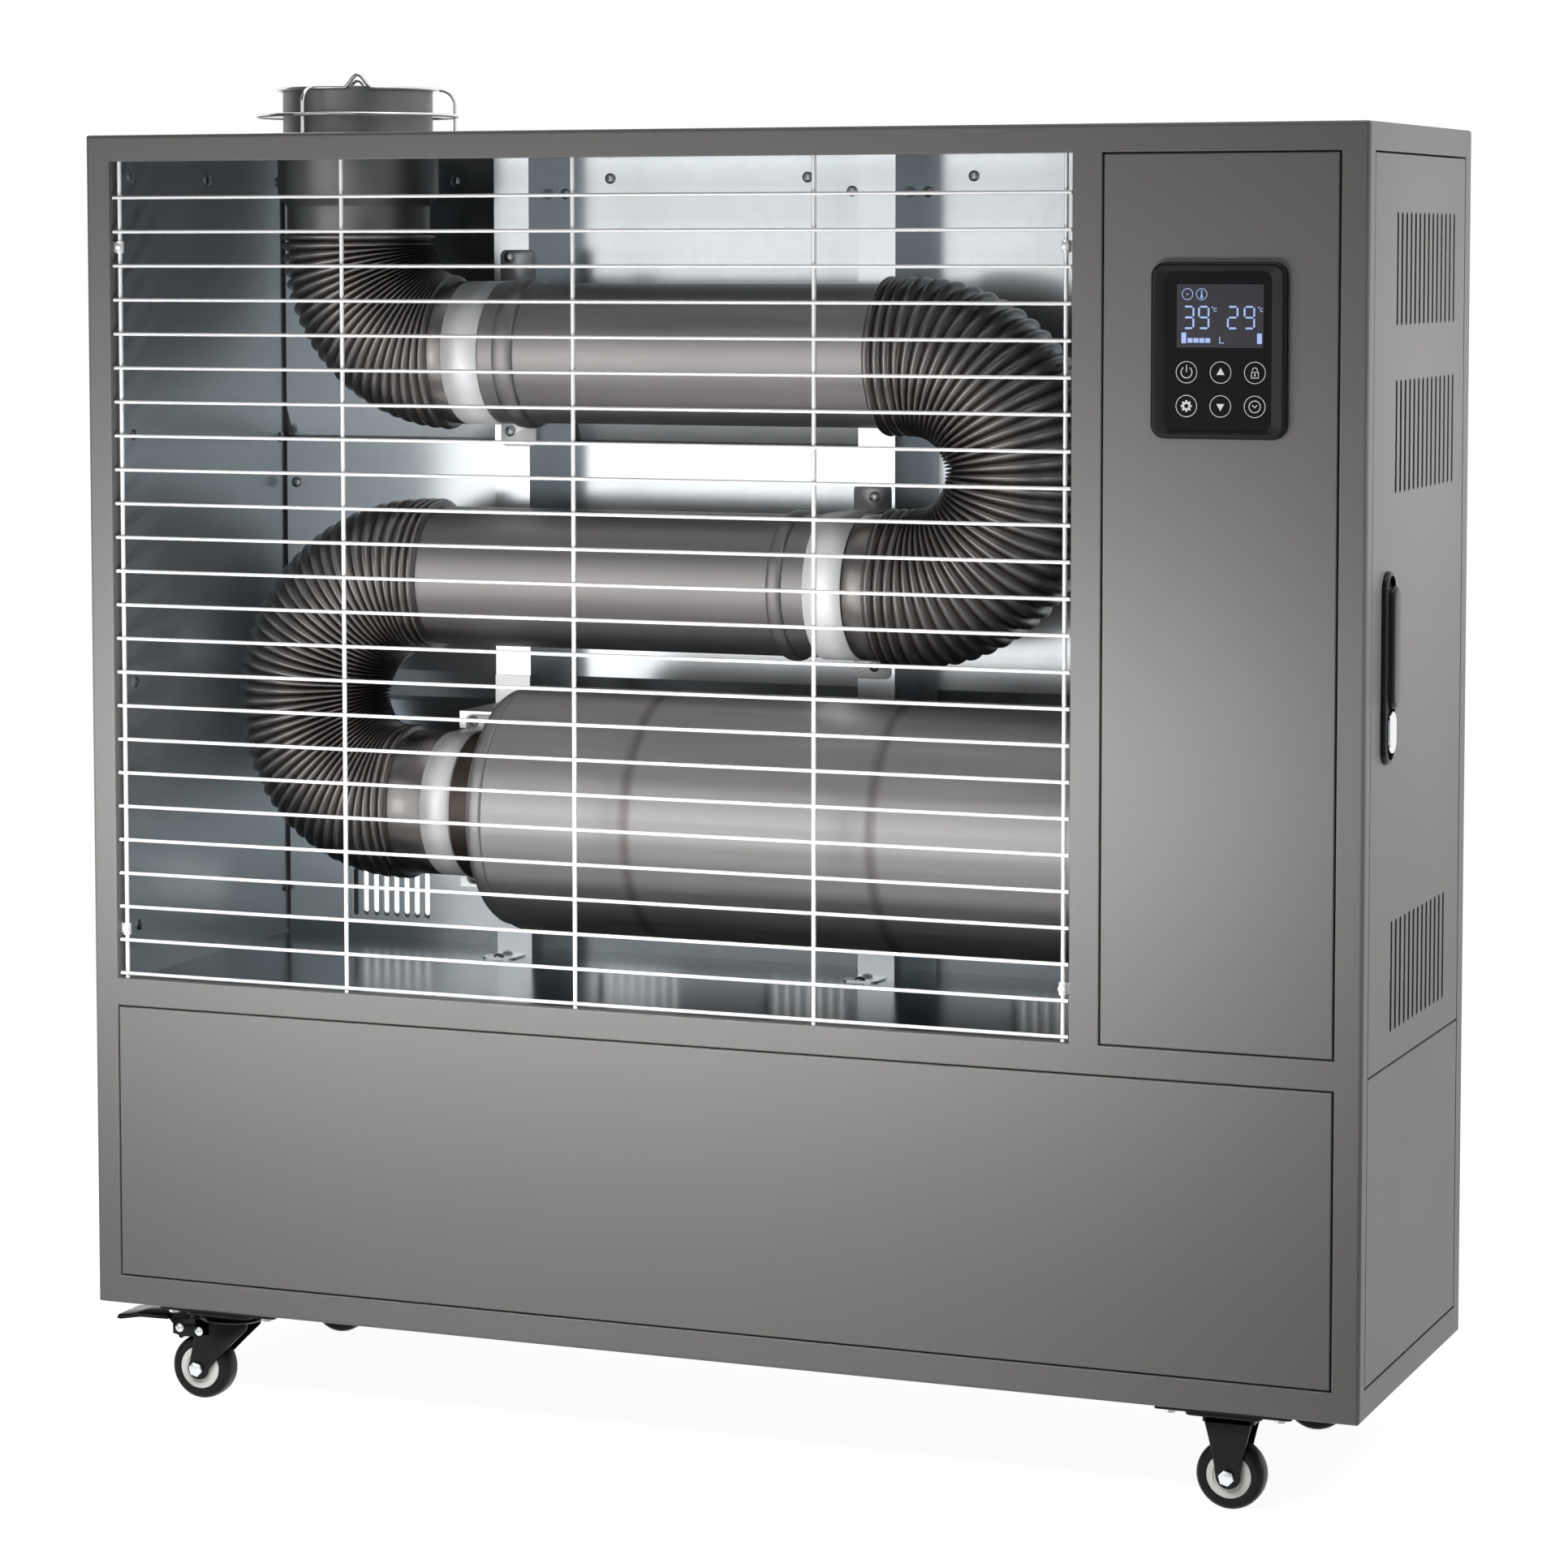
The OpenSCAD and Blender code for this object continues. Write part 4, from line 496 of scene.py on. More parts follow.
# Flue collar: spun steel tube that slips over the elbow, with a wide part held under
# the top cover and a stub above it for the chimney pipe.
collar_steel = finish("collar_steel", (0.185, 0.182, 0.180), (0.220, 0.217, 0.215), (0.38, 0.46), 300,
                      0.000008, metallic=1.0, cloud=4.0)
turned("collar_tube", [(817, spigot_r), (826, spigot_r), (826, 55.4), (826.6, 56), (846, 56), (848, 57),
                       (854, 62), (856, 63), (898.3, 63), (898.8, 62.5), (898.8, 58.5), (938.6, 58.5),
                       (939, 58.1), (939, 57.4), (938.6, 57), (897.3, 57), (897.3, 61.5), (856.5, 61.5),
                       (847, 54.5), (828, 54.5), (824, 49.2), (817, 49.2)],
       shown_from(flue_x, pipe_y, 0, ("Y", -90)), collar_steel, "flue_steel", ["flue_collar"])

# Straps that hold the pipes on the posts: zinc-plated strip bent over the pipe, with
# round-cornered tabs and a cross-recess screw in each.
strip = finish("zinc_strip", (0.80, 0.81, 0.82), (0.88, 0.88, 0.89), (0.44, 0.54), 300, 0.000006,
               metallic=0.55)
# the neck strap's darker copy of the zinc strip is painted shade, for the strap lying in shade
neck_strip_painted_shade = finish("neck_strip_painted_shade", (0.52, 0.52, 0.52), (0.60, 0.60, 0.60), (0.44, 0.54), 300, 0.000006,
                    metallic=0.6)


def strap(bm, x0, x1, y, z, reach, tabs):
    """Strip from a tab over the front half of a pipe to the other tab, tabs reach behind the axis."""
    radius = pipe_r + 0.75
    path = [(y + reach, z + radius + tabs[0]), (y + reach, z + radius), (y, z + radius)]
    path += [(y - radius * math.sin(math.pi * i / 32), z + radius * math.cos(math.pi * i / 32))
             for i in range(1, 32)]
    path += [(y, z - radius), (y + reach, z - radius), (y + reach, z - radius - tabs[1])]
    verts = [bm.verts.new(at(x0, *p)) for p in path]
    edges = [bm.edges.new(pair) for pair in zip(verts, verts[1:])]
    side = bmesh.ops.extrude_edge_only(bm, edges=edges)["geom"]
    far = verts_of(side)
    bmesh.ops.translate(bm, vec=((x1 - x0) / 1000, 0, 0), verts=far)
    ends = [v for v in verts + far if len(v.link_edges) == 2]
    bmesh.ops.bevel(bm, geom=ends, affect="VERTICES", offset=0.005, segments=5, profile=0.5, material=-1)


def strap_piece(name, straps, material, replaced):
    bm = bmesh.new()
    for values in straps:
        strap(bm, *values)
    made = piece(name, bm, material, "cabinet", replaced, angle=50)
    thick = made.modifiers.new("thickness", "SOLIDIFY")
    thick.thickness = 0.0015
    thick.offset = 0


post_y = 225.0
strap_piece("pipe_straps", [(243, 273, pipe_y, upper_z, post_y - pipe_y - 0.75, (25, 20)),
                            (541, 571, pipe_y, middle_z, post_y - pipe_y - 0.75, (20, 20))],
            strip, ["pipe_clamps"])
strap_piece("neck_strap", [(243, 267, drum_y, drum_z, 28.25, (12, 12))], neck_strip_painted_shade, ["neck_clamp"])
coat_nodes(strip, "strap_steel", "neck_bracket", "door_hinges", "lock_spindle", "castor_plates")

# Sheet-metal screws: pan heads with a cross recess, bright zinc. One head is shaped
# and set down wherever a sheet is screwed.
screw_steel = finish("screw_steel", (0.34, 0.35, 0.36), (0.42, 0.43, 0.44), (0.22, 0.32), 300, 0.000008,
                     metallic=1.0)


def pan_head(bm, place, radius=4.2, height=2.2):
    """A domed head on the plane z = 0 with a cross cut in it."""
    made = bmesh.ops.create_grid(bm, x_segments=6, y_segments=6, size=1)["verts"]
    for v in made:
        x, y = v.co.x, v.co.y
        v.co.x = x * math.sqrt(1 - y * y / 2) * radius / 1000
        v.co.y = y * math.sqrt(1 - x * x / 2) * radius / 1000
        spread = min(v.co.xy.length * 1000 / radius, 1)
        v.co.z = height / 1000 * (0.45 + 0.55 * math.sqrt(max(1 - spread * spread, 0)))
    faces = {f for v in made for f in v.link_faces}
    arm = radius * 0.62 / 1000
    half = radius * 0.2 / 1000
    slot = [f for f in faces if f.calc_center_median().length < arm
            and min(abs(f.calc_center_median().x), abs(f.calc_center_median().y)) < half]
    sunk = bmesh.ops.extrude_face_region(bm, geom=slot)["geom"]
    bottom = verts_of(sunk)
    bmesh.ops.delete(bm, geom=slot, context="FACES_ONLY")
    bmesh.ops.translate(bm, vec=(0, 0, -height * 0.5 / 1000), verts=bottom)
    rim = [e for v in made if v.is_valid for e in v.link_edges if e.is_boundary]
    skirt = bmesh.ops.extrude_edge_only(bm, edges=list(set(rim)))["geom"]
    low = verts_of(skirt)
    for v in low:
        v.co.z = 0
    cap = [g for g in skirt if isinstance(g, bmesh.types.BMEdge) and all(v in low for v in g.verts)]
    bmesh.ops.holes_fill(bm, edges=cap, sides=0)
    bmesh.ops.transform(bm, matrix=place, verts=list(set(made) | set(bottom) | set(low)))


rear_y, liner_x, floor_top = 280.0, 20.0, 252.2
screws = [((x, rear_y, z), ("X", 90)) for x, z in ((31, 623), (176, 868), (313, 869), (481, 869), (518, 858),
                                                  (618, 869))]
screws += [((x, rear_y - 1.2, 857), ("X", 90)) for x in (274.5, 581.5)]
screws += [((liner_x, y, z), ("Y", 90)) for y, z in ((33, 869), (154, 868), (273, 868), (33, 671),
                                                     (273, 660), (33, 480), (33, 291), (274, 289))]
screws += [((x, post_y - 1.5, z), ("X", 90)) for x, z in ((251, 807), (251, 670), (558, 624), (558, 494))]
screws += [((250, drum_y + 27.5, drum_z + s), ("X", 90)) for s in (61.5, -61.5)]
screws += [((x + 5, post_y - 8, floor_top), ("X", 0)) for x in (237, 544)]
bm = bmesh.new()
for spot, tilt in screws:
    pan_head(bm, shown_from(*spot, tilt))
piece("pan_head_screws", bm, screw_steel, "cabinet", ["panel_screws"])

# The joint in the chamber's rear left corner: a thin black strip laid from the floor to
# the ceiling where the liner's flange meets the reflectors, painted shadow for the gap there.
# a near-black finish that paints the shadow in the corner gap
corner_shadow_black = finish("corner_shadow_black", (0.012, 0.013, 0.014), (0.020, 0.021, 0.022), (0.50, 0.64), 300, 0.00004,
                 shine=0.2)


def rod(bm, sides, radii, length, place):
    """A capped rod along z, in millimetres, with a radius at each end, placed by a matrix."""
    made = bmesh.ops.create_cone(bm, cap_ends=True, segments=sides, radius1=radii[0] / 1000,
                                 radius2=radii[1] / 1000, depth=length / 1000)["verts"]
    bmesh.ops.transform(bm, matrix=place, verts=made)


bm = bmesh.new()
shadow_strip_pose = shown_from(liner_x + 1.0, rear_y - 0.5, 568) @ Matrix.Diagonal((0.8, 0.5, 1, 1))
rod(bm, 16, (1.3, 1.3), 630, shadow_strip_pose)
piece("corner_painted_shadow", bm, corner_shadow_black, "cabinet")

# Front grille: 24 drawn steel wires welded on five uprights and chromed, held to the
# frame by four clips with a screw.
chrome = finish("chrome_wire", (0.82, 0.82, 0.82), (0.90, 0.90, 0.90), (0.08, 0.16), 200, 0.000004,
                metallic=1.0)
bright_wire = finish("bright_wire", (0.90, 0.90, 0.90), (0.96, 0.96, 0.96), (0.16, 0.24), 200, 0.000004,
                     metallic=0.5)


def wires(name, runs, radius, closed=False, metal=chrome):
    """Round wire along lists of points in the frame, in metres."""
    data = bpy.data.curves.new(name, "CURVE")
    data.dimensions = "3D"
    data.bevel_depth = radius / 1000
    data.bevel_resolution = 3
    data.use_fill_caps = True
    for run in runs:
        spline = data.splines.new("POLY")
        spline.points.add(len(run) - 1)
        for point, place in zip(spline.points, run):
            point.co = (*place, 1)
        spline.use_cyclic_u = closed
        spline.use_smooth = True
    data.materials.append(metal)
    made = new_object(name, data)
    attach(made, "cabinet")
    return made


grille_x0, grille_x1, bar_y, bar_r, upright_r = 20.0, 788.0, 3.0, 1.45, 1.75
upright_y = bar_y + bar_r + upright_r - 0.4
bar_low, bar_high, bar_count = 257.9, 852.6, 24
bar_zs = [bar_low + (bar_high - bar_low) * i / (bar_count - 1) for i in range(bar_count)]
upright_xs = [grille_x0 + 6 + (grille_x1 - grille_x0 - 12) * i / 4 for i in range(5)]
bars = wires("grille_bars", [[at(grille_x0 + 2, bar_y, z), at(grille_x1 - 1, bar_y, z)] for z in bar_zs],
             bar_r, metal=bright_wire)
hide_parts("front_grille")
wires("grille_uprights", [[at(x, upright_y, 254), at(x, upright_y, 880)] for x in upright_xs], upright_r,
      metal=bright_wire)
bm = bmesh.new()
for x in upright_xs:
    for z in bar_zs:
        nugget = bmesh.ops.create_icosphere(bm, subdivisions=1, radius=0.0014)["verts"]
        bmesh.ops.scale(bm, vec=(1.1, 0.7, 1.1), verts=nugget)
        bmesh.ops.translate(bm, vec=at(x, bar_y + bar_r, z), verts=nugget)
for x, side in ((grille_x0, 1), (grille_x1, -1)):
    for z in (292, 815):
        rod(bm, 20, (3.1, 3.1), 9, shown_from(x + side * 6, upright_y, z))
        tab = bmesh.ops.create_cube(bm, size=1)["verts"]
        bmesh.ops.scale(bm, vec=(0.007, 0.0012, 0.008), verts=tab)
        bmesh.ops.translate(bm, vec=at(x + side * 3.5, upright_y + 2.4, z), verts=tab)
        pan_head(bm, shown_from(x + side * 6, upright_y - 2.6, z, ("X", 90)), 2.9, 1.8)
piece("grille_welds_and_clips", bm, bright_wire, "cabinet")

# Wire guard round the flue: two rings, a top ring with two bent-up peaks, and three
# stays that curl over to it, all of chromed wire, welded, standing on the top cover.
top_z = 900.0
wire_r, guard_r, guard_top_r, guard_top = 1.5, 78.5, 63.0, 37.5


def on_flue(radius, degrees, height):
    a = math.radians(degrees)
    return at(flue_x + radius * math.cos(a), pipe_y + radius * math.sin(a), top_z + height)


def peak(degrees):
    """Height of the top ring's peak, at an angle from its middle."""
    share = max(0.0, 1 - abs(degrees) / 9.2)
    return 10 * (share * share * (3 - 2 * share)) ** 0.8


guard = wires("flue_guard_rings", [[on_flue(guard_r, a, h) for a in range(0, 360, 4)] for h in (wire_r, 17)],
              wire_r, closed=True)
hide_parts("flue_guard")
wires("flue_guard_top", [[on_flue(guard_top_r, a, guard_top + max(peak((a + 63 + 180) % 360 - 180),
                                                                 peak((a - 117 + 180) % 360 - 180)))
                          for a in range(0, 360, 2)]], wire_r, closed=True)
stays = []
for a in (-97, 23, 143):
    curl = [on_flue(64 + 12 * math.sin(math.radians(t)), a, guard_top - 12 + 12 * math.cos(math.radians(t)))
            for t in range(0, 91, 9)]
    stays.append([on_flue(61.5, a, guard_top)] + curl + [on_flue(76, a, 0.2)])
wires("flue_guard_stays", stays, wire_r - 0.1)

# Control unit: a bezel moulded in satin black plastic with a softened front edge, set
# into the column panel, and a gloss black touch film that lies back in its opening.
bezel_plastic = finish("bezel_plastic", (0.008, 0.008, 0.009), (0.011, 0.011, 0.012), (0.22, 0.30), 1800,
                       0.000006, shine=0.22)
touch_film = finish("touch_film", (0.005, 0.005, 0.006), (0.007, 0.007, 0.008), (0.07, 0.12), 300, 0.000001,
                    shine=0.1)
coat_nodes(touch_film, "touch_film", "touch_panel")
bezel_x, bezel_z, bezel_w, bezel_h = 846.5, 682.0, 97.0, 122.0


def rounded_plate(bm, width, height, radius, thick, place, soft=0.0, segments=8, steps=3):
    """A plate with round corners from z = 0 up, its front edges softened, placed by a matrix."""
    verts = bmesh.ops.create_grid(bm, x_segments=1, y_segments=1, size=0.5)["verts"]
    bmesh.ops.scale(bm, vec=(width / 1000, height / 1000, 1), verts=verts)
    rounded = bmesh.ops.bevel(bm, geom=verts, affect="VERTICES", offset=radius / 1000, segments=segments,
                              profile=0.5, material=-1)["verts"]
    face = max((f for v in rounded for f in v.link_faces), key=lambda f: f.calc_area())
    raised = bmesh.ops.extrude_face_region(bm, geom=[face])["geom"]
    bmesh.ops.translate(bm, vec=(0, 0, thick / 1000), verts=verts_of(raised))
    top = next(g for g in raised if isinstance(g, bmesh.types.BMFace))
    if soft:
        softened = bmesh.ops.bevel(bm, geom=list(top.edges), affect="EDGES", offset=soft / 1000,
                                   segments=steps, profile=0.5, material=-1)["verts"]
        top = max((f for v in softened for f in v.link_faces), key=lambda f: f.calc_area())
    linked, waiting = {top}, [top]
    while waiting:
        for e in waiting.pop().edges:
            for f in e.link_faces:
                if f not in linked:
                    linked.add(f)
                    waiting.append(f)
    bmesh.ops.transform(bm, matrix=place, verts=list({v for f in linked for v in f.verts}))
    return top


def sink(bm, top, centre, size, shift):
    """Cuts a step inside a face: the face is scaled about the centre and moved, in millimetres."""
    sunk = bmesh.ops.extrude_face_region(bm, geom=[top])["geom"]
    bmesh.ops.delete(bm, geom=[top], context="FACES_ONLY")
    top = next(g for g in sunk if isinstance(g, bmesh.types.BMFace))
    bmesh.ops.scale(bm, vec=size, verts=list(top.verts), space=centre)
    bmesh.ops.translate(bm, vec=Vector(shift) / 1000, verts=list(top.verts))
    return top


to_front = (("X", 90),)
bezel_soft, lip, opening_w, opening_h = 2.6, 0.8, 76.0, 109.4
flat_w, flat_h = bezel_w - 2 * (bezel_soft + lip), bezel_h - 2 * (bezel_soft + lip)
bezel_middle = (bezel_x + bezel_w / 2, 0, bezel_z + bezel_h / 2)
bm = bmesh.new()
top = rounded_plate(bm, bezel_w, bezel_h, 10, 5, shown_from(*bezel_middle, *to_front), soft=bezel_soft,
                    steps=5)
centre = Matrix.Translation(-at(*bezel_middle))
bmesh.ops.inset_region(bm, faces=[top], thickness=lip / 1000, use_even_offset=True)
top = sink(bm, top, centre, (opening_w / flat_w, 1, opening_h / flat_h), (0, 1.3, 0))
top = sink(bm, top, centre, (1, 1, 1), (0, 2.2, 0))
bmesh.ops.delete(bm, geom=[top], context="FACES_ONLY")
top = rounded_plate(bm, 80, 113.4, 2, 24, shown_from(*bezel_middle, ("X", -90)))
bmesh.ops.inset_region(bm, faces=[top], thickness=0.002, use_even_offset=True)
sink(bm, top, centre, (1, 1, 1), (0, -22.5, 0))
piece("bezel_moulding", bm, bezel_plastic, "cabinet", ["control_bezel"], angle=28)


def glowing(name, colour, strength):
    material = finish(name, colour, colour, (0.3, 0.4), 500, 0.000001)
    fill(material.node_tree.nodes["Principled BSDF"], {"Emission Color": (*colour, 1),
                                                       "Emission Strength": strength})
    return material


# Display and keys: a smoked window under the film with blue-white segments that shine
# through it, and six ringed key symbols printed on the film in white, with a faint painted glow.
glass = finish("display_glass", (0.050, 0.050, 0.058), (0.056, 0.056, 0.065), (0.12, 0.18), 300, 0.000001,
               shine=0.1)
digits = glowing("display_segments", (0.33, 0.45, 0.78), 0.36)
# the key print's faint emission is painted glow: the print itself is no lamp
print_white_painted_glow = glowing("key_print_painted_glow", (0.62, 0.62, 0.62), 0.10)
film_y, proud = -3.5, 0.12
bm = bmesh.new()
rounded_plate(bm, 61.7, 43.5, 0.6, 0.08, shown_from(896.2, film_y, 767.0, *to_front), segments=2)
piece("display_window", bm, glass, "cabinet")


def bar_shape(bm, x, z, width, height, radius):
    rounded_plate(bm, width, height, radius, proud, shown_from(x, film_y, z, *to_front), segments=3)


bm = bmesh.new()
segments_lit = {"3": "abcdg", "9": "abcdfg", "2": "abdeg"}
digit_w, digit_h, digit_z, stroke = 6.8, 14.8, 766.0, 1.3
spots = {"a": (0, digit_h / 2, 1), "g": (0, 0, 1), "d": (0, -digit_h / 2, 1),
         "b": (digit_w / 2, digit_h / 4, 0), "c": (digit_w / 2, -digit_h / 4, 0),
         "f": (-digit_w / 2, digit_h / 4, 0), "e": (-digit_w / 2, -digit_h / 4, 0)}
for x, digit in ((873.8, "3"), (884.6, "9"), (905.2, "2"), (917.0, "9")):
    for part in segments_lit[digit]:
        dx, dz, flat = spots[part]
        long = digit_w - 1.4 if flat else digit_h / 2 - 1.2
        bar_shape(bm, x + dx, digit_z + dz, long if flat else stroke, stroke if flat else long,
                  stroke / 2 - 0.05)


def ring_shape(bm, x, z, radius, stroke, gap=0.0, open_at=90):
    """A flat ring on the film, open by gap degrees at its top or at another angle."""
    start = math.radians(open_at + gap / 2)
    ends = [bm.verts.new((math.cos(start) * r, math.sin(start) * r, 0))
            for r in (radius - stroke / 2, radius + stroke / 2)]
    line = bm.edges.new(ends)
    before = set(bm.verts) - set(ends)
    bmesh.ops.spin(bm, geom=[*ends, line], cent=(0, 0, 0), axis=(0, 0, 1), dvec=(0, 0, 0),
                   angle=math.radians(360 - gap), steps=40, use_merge=gap == 0)
    made = [v for v in bm.verts if v not in before]
    faces = {f for v in made for f in v.link_faces}
    high = verts_of(bmesh.ops.extrude_face_region(bm, geom=list(faces))["geom"])
    bmesh.ops.translate(bm, vec=(0, 0, proud), verts=high)
    place = shown_from(x, film_y, z, *to_front) @ Matrix.Diagonal((0.001, 0.001, 0.001, 1))
    bmesh.ops.transform(bm, matrix=place, verts=made + high)


for x in (872.9, 883.0):
    ring_shape(bm, x, 782.0, 3.8, 0.45)
bar_shape(bm, 883.0, 782.6, 0.8, 4.2, 0.35)
ring_shape(bm, 883.0, 780.2, 0.7, 0.7)
ring_shape(bm, 872.9, 782.0, 0.35, 0.5)
for x in (893.2, 926.0):
    ring_shape(bm, x - 0.2, 771.3, 1.1, 0.5, gap=90, open_at=0)
    ring_shape(bm, x - 2.4, 773.0, 0.45, 0.35)
bar_shape(bm, 870.4, 751.9, 3.4, 7.4, 0.5)
for i in range(4):
    bar_shape(bm, 874.9 + 4.2 * i, 750.2, 3.6, 3.2, 0.2)
bar_shape(bm, 896.0, 750.6, 0.6, 4.6, 0.2)
bar_shape(bm, 897.4, 748.5, 3.0, 0.6, 0.2)
bar_shape(bm, 924.3, 751.6, 3.4, 7.2, 0.5)
piece("display_segments", bm, digits, "cabinet")

bm = bmesh.new()
key_xs, key_zs = (872.5, 896.8, 921.2), (728.2, 704.9)
for x in key_xs:
    for z in key_zs:
        ring_shape(bm, x, z, 7.4, 0.42)
ring_shape(bm, key_xs[0], key_zs[0], 3.9, 0.6, gap=70)
bar_shape(bm, key_xs[0], key_zs[0] + 2.6, 0.6, 5.0, 0.25)
for z, sign in ((key_zs[0], 1), (key_zs[1], -1)):
    tip = bmesh.ops.create_circle(bm, cap_ends=True, segments=3, radius=0.0033)["verts"]
    arrow = shown_from(key_xs[1], film_y - 0.1, z, ("X", 90), ("Z", 0 if sign > 0 else 180))
    bmesh.ops.transform(bm, matrix=arrow, verts=tip)
for dx, dz, wide, high in ((0, 0.4, 5.4, 0.5), (0, -3.6, 5.4, 0.5), (-2.45, -1.6, 0.5, 4.0),
                           (2.45, -1.6, 0.5, 4.0), (0, -1.5, 0.8, 1.9)):
    bar_shape(bm, key_xs[2] + dx, key_zs[0] + dz, wide, high, 0.2)
ring_shape(bm, key_xs[2], key_zs[0] + 1.6, 1.8, 0.5, gap=150, open_at=270)
ring_shape(bm, key_xs[0], key_zs[1], 2.3, 1.5)
for i in range(8):
    a = math.radians(45 * i)
    bar_shape(bm, key_xs[0] + 3.3 * math.cos(a), key_zs[1] + 3.3 * math.sin(a), 1.4, 1.4, 0.35)
ring_shape(bm, key_xs[2], key_zs[1], 4.0, 0.55)
for turn_by, dx in ((45, -0.8), (-45, 0.8)):
    hand = shown_from(key_xs[2] + dx, film_y, key_zs[1] + 0.2, ("X", 90), ("Z", turn_by))
    rounded_plate(bm, 0.55, 2.6, 0.2, proud, hand, segments=2)
piece("key_symbols", bm, print_white_painted_glow, "cabinet")

# Side door handle: a black die-cast base with a recess, screwed through the door, a
# swing lever that lies in it, and a chromed push button at its lower end.
handle_black = finish("handle_black", (0.008, 0.008, 0.009), (0.012, 0.012, 0.013), (0.24, 0.34), 700,
                      0.00001, shine=0.3)
side_x, handle_y, handle_z, handle_w, handle_h = 1000.0, 56.0, 455.0, 28.0, 135.0
to_side = (("Z", 90), ("X", 90))
handle_soft, pocket_w, pocket_h, pocket_d = 2.2, 22.0, 129.0, 3
handle_middle = (handle_y, handle_z + handle_h / 2)
bm = bmesh.new()
top = rounded_plate(bm, handle_w, handle_h, handle_w / 2 - 0.01, 4,
                    shown_from(side_x, *handle_middle, *to_side), soft=handle_soft, segments=16, steps=5)
centre = Matrix.Translation(-at(side_x, *handle_middle))
shrink = (1, pocket_w / (handle_w - 2 * handle_soft), pocket_h / (handle_h - 2 * handle_soft))
top = sink(bm, top, centre, shrink, (0, 0, 0))
sink(bm, top, centre, (1, 1, 1), (-pocket_d, 0, 0))
piece("handle_base_cast", bm, handle_black, "door", ["handle_base"], angle=30)
bm = bmesh.new()
rounded_plate(bm, 20, 86, 9.99, 4.2, shown_from(side_x + 4.3, handle_y, 537, *to_side), soft=2.8,
              segments=16, steps=5)
piece("handle_lever_cast", bm, handle_black, "lever", ["handle_lever"], angle=30)
bm = bmesh.new()
rounded_plate(bm, 18, 29.5, 8.99, 2.8, shown_from(side_x + 3.2, handle_y, 477.75, *to_side), soft=1.2,
              segments=16, steps=4)
piece("push_button", bm, chrome, "button", ["lock_button"], angle=30)

# Castor wheels: a black rubber tyre, 50 mm across, moulded round a pale plastic hub
# that turns on the axle. All four are alike.
tyre_rubber = finish("tyre_rubber", (0.008, 0.008, 0.009), (0.012, 0.012, 0.013), (0.24, 0.34), 900, 0.00001,
                     shine=0.14)
hub_grey = finish("hub_grey", (0.74, 0.74, 0.70), (0.80, 0.80, 0.77), (0.34, 0.44), 600, 0.00001)
axle_z = -51.0
left, right, front, rear, trail = 100, 900, 34, 266, 25
wheels = {"front_left": (left - trail, front), "rear_left": (left - trail, rear),
          "front_right": (right, front), "rear_right": (right, rear)}
tyre = [(9.5, 18.2), (9.8, 20.6), (9.4, 22.0), (8.2, 23.4), (6.6, 24.4), (4.0, 24.9), (0, 25.0)]
tyre = tyre + [(-x, r) for x, r in reversed(tyre[:-1])] + [(-9.2, 16.4), (9.2, 16.4)]
hub = [(9.0, 16.4), (9.3, 16.0), (9.3, 11.8), (8.6, 11.2), (8.6, 9.4), (8.0, 9.0), (8.0, 7.4), (9.6, 7.0),
       (9.6, 4.05)]
hub = hub + [(-x, r) for x, r in reversed(hub)]
for name, (x, y) in wheels.items():
    body = name + "_wheel_body"
    place = shown_from(x, y, axle_z, ("Z", 90))
    turned(name + "_tyre", tyre, place, tyre_rubber, "castor_tyre", [name + "_wheel"], body, steps=64)
    turned(name + "_hub", hub, place, hub_grey, "castor_tyre", (), body, steps=64)

# Castor forks: pressed black steel, the left pair on a ball race with a trail, so that
# they swivel, the right pair rigid, each with a zinc axle and hexagon nuts.
castor_black = finish("castor_black", (0.007, 0.007, 0.008), (0.010, 0.010, 0.011), (0.14, 0.22), 240,
                      0.00001, shine=0.16)
nut_zinc = finish("nut_zinc", (0.66, 0.70, 0.72), (0.76, 0.79, 0.80), (0.20, 0.32), 260, 0.00001,
                  metallic=1.0)


def slab(bm, points, thick):
    """A plate from an outline of points to its copy thick millimetres behind, with both faces."""
    near = bmesh.ops.contextual_create(bm, geom=[bm.verts.new(p) for p in points])["faces"][0]
    grown = bmesh.ops.extrude_face_region(bm, geom=[near])["geom"]
    bmesh.ops.translate(bm, vec=(0, thick / 1000, 0), verts=verts_of(grown))
    return near, next(g for g in grown if isinstance(g, bmesh.types.BMFace))


leg_t, fork_in, race_z = 2.5, 10.8, -9.5
fork_out = fork_in + leg_t


def leg(bm, cx, cy, middle_y, offset, half, top):
    """One side of a fork: flared at its crown, narrow and round at the axle."""
    foot, crown = 9.0, top - 8
    shares = (0.78, 0.58, 0.40, 0.24, 0.10)
    heel = 10 if offset else 0
    flank = [(foot + (half - 2 - foot) * t ** 1.3, t) for t in shares]
    right_side = [(-offset * (1 - t) + u, axle_z + (crown - axle_z) * t) for u, t in flank]
    left_side = [(-offset * (1 - t) - u - heel * t, axle_z + (crown - axle_z) * t)
                 for u, t in reversed(flank)]
    toe = [(-offset + foot * math.cos(math.pi * i / 10), axle_z - foot * math.sin(math.pi * i / 10))
           for i in range(11)]
    outline = [(-half - heel, top), (half, top), (half - 2, crown), *right_side, *toe, *left_side,
               (2 - half - heel, crown)]
    face, lid = slab(bm, [at(cx + u, cy, z) for u, z in outline], leg_t)
    outer = lid if cy > middle_y else face
    bmesh.ops.bevel(bm, geom=list(outer.edges), affect="EDGES", offset=0.0014, segments=4, profile=0.5,
                    material=-1, clamp_overlap=True)


def spun_shell(bm, outline, x, y):
    """A closed outline of height and radius, spun about the upright axis of a castor."""
    lathe(bm, [bm.verts.new(at(x + r, y, z)) for z, r in outline], at(x, y, 0), (0, 0, 1), 48)


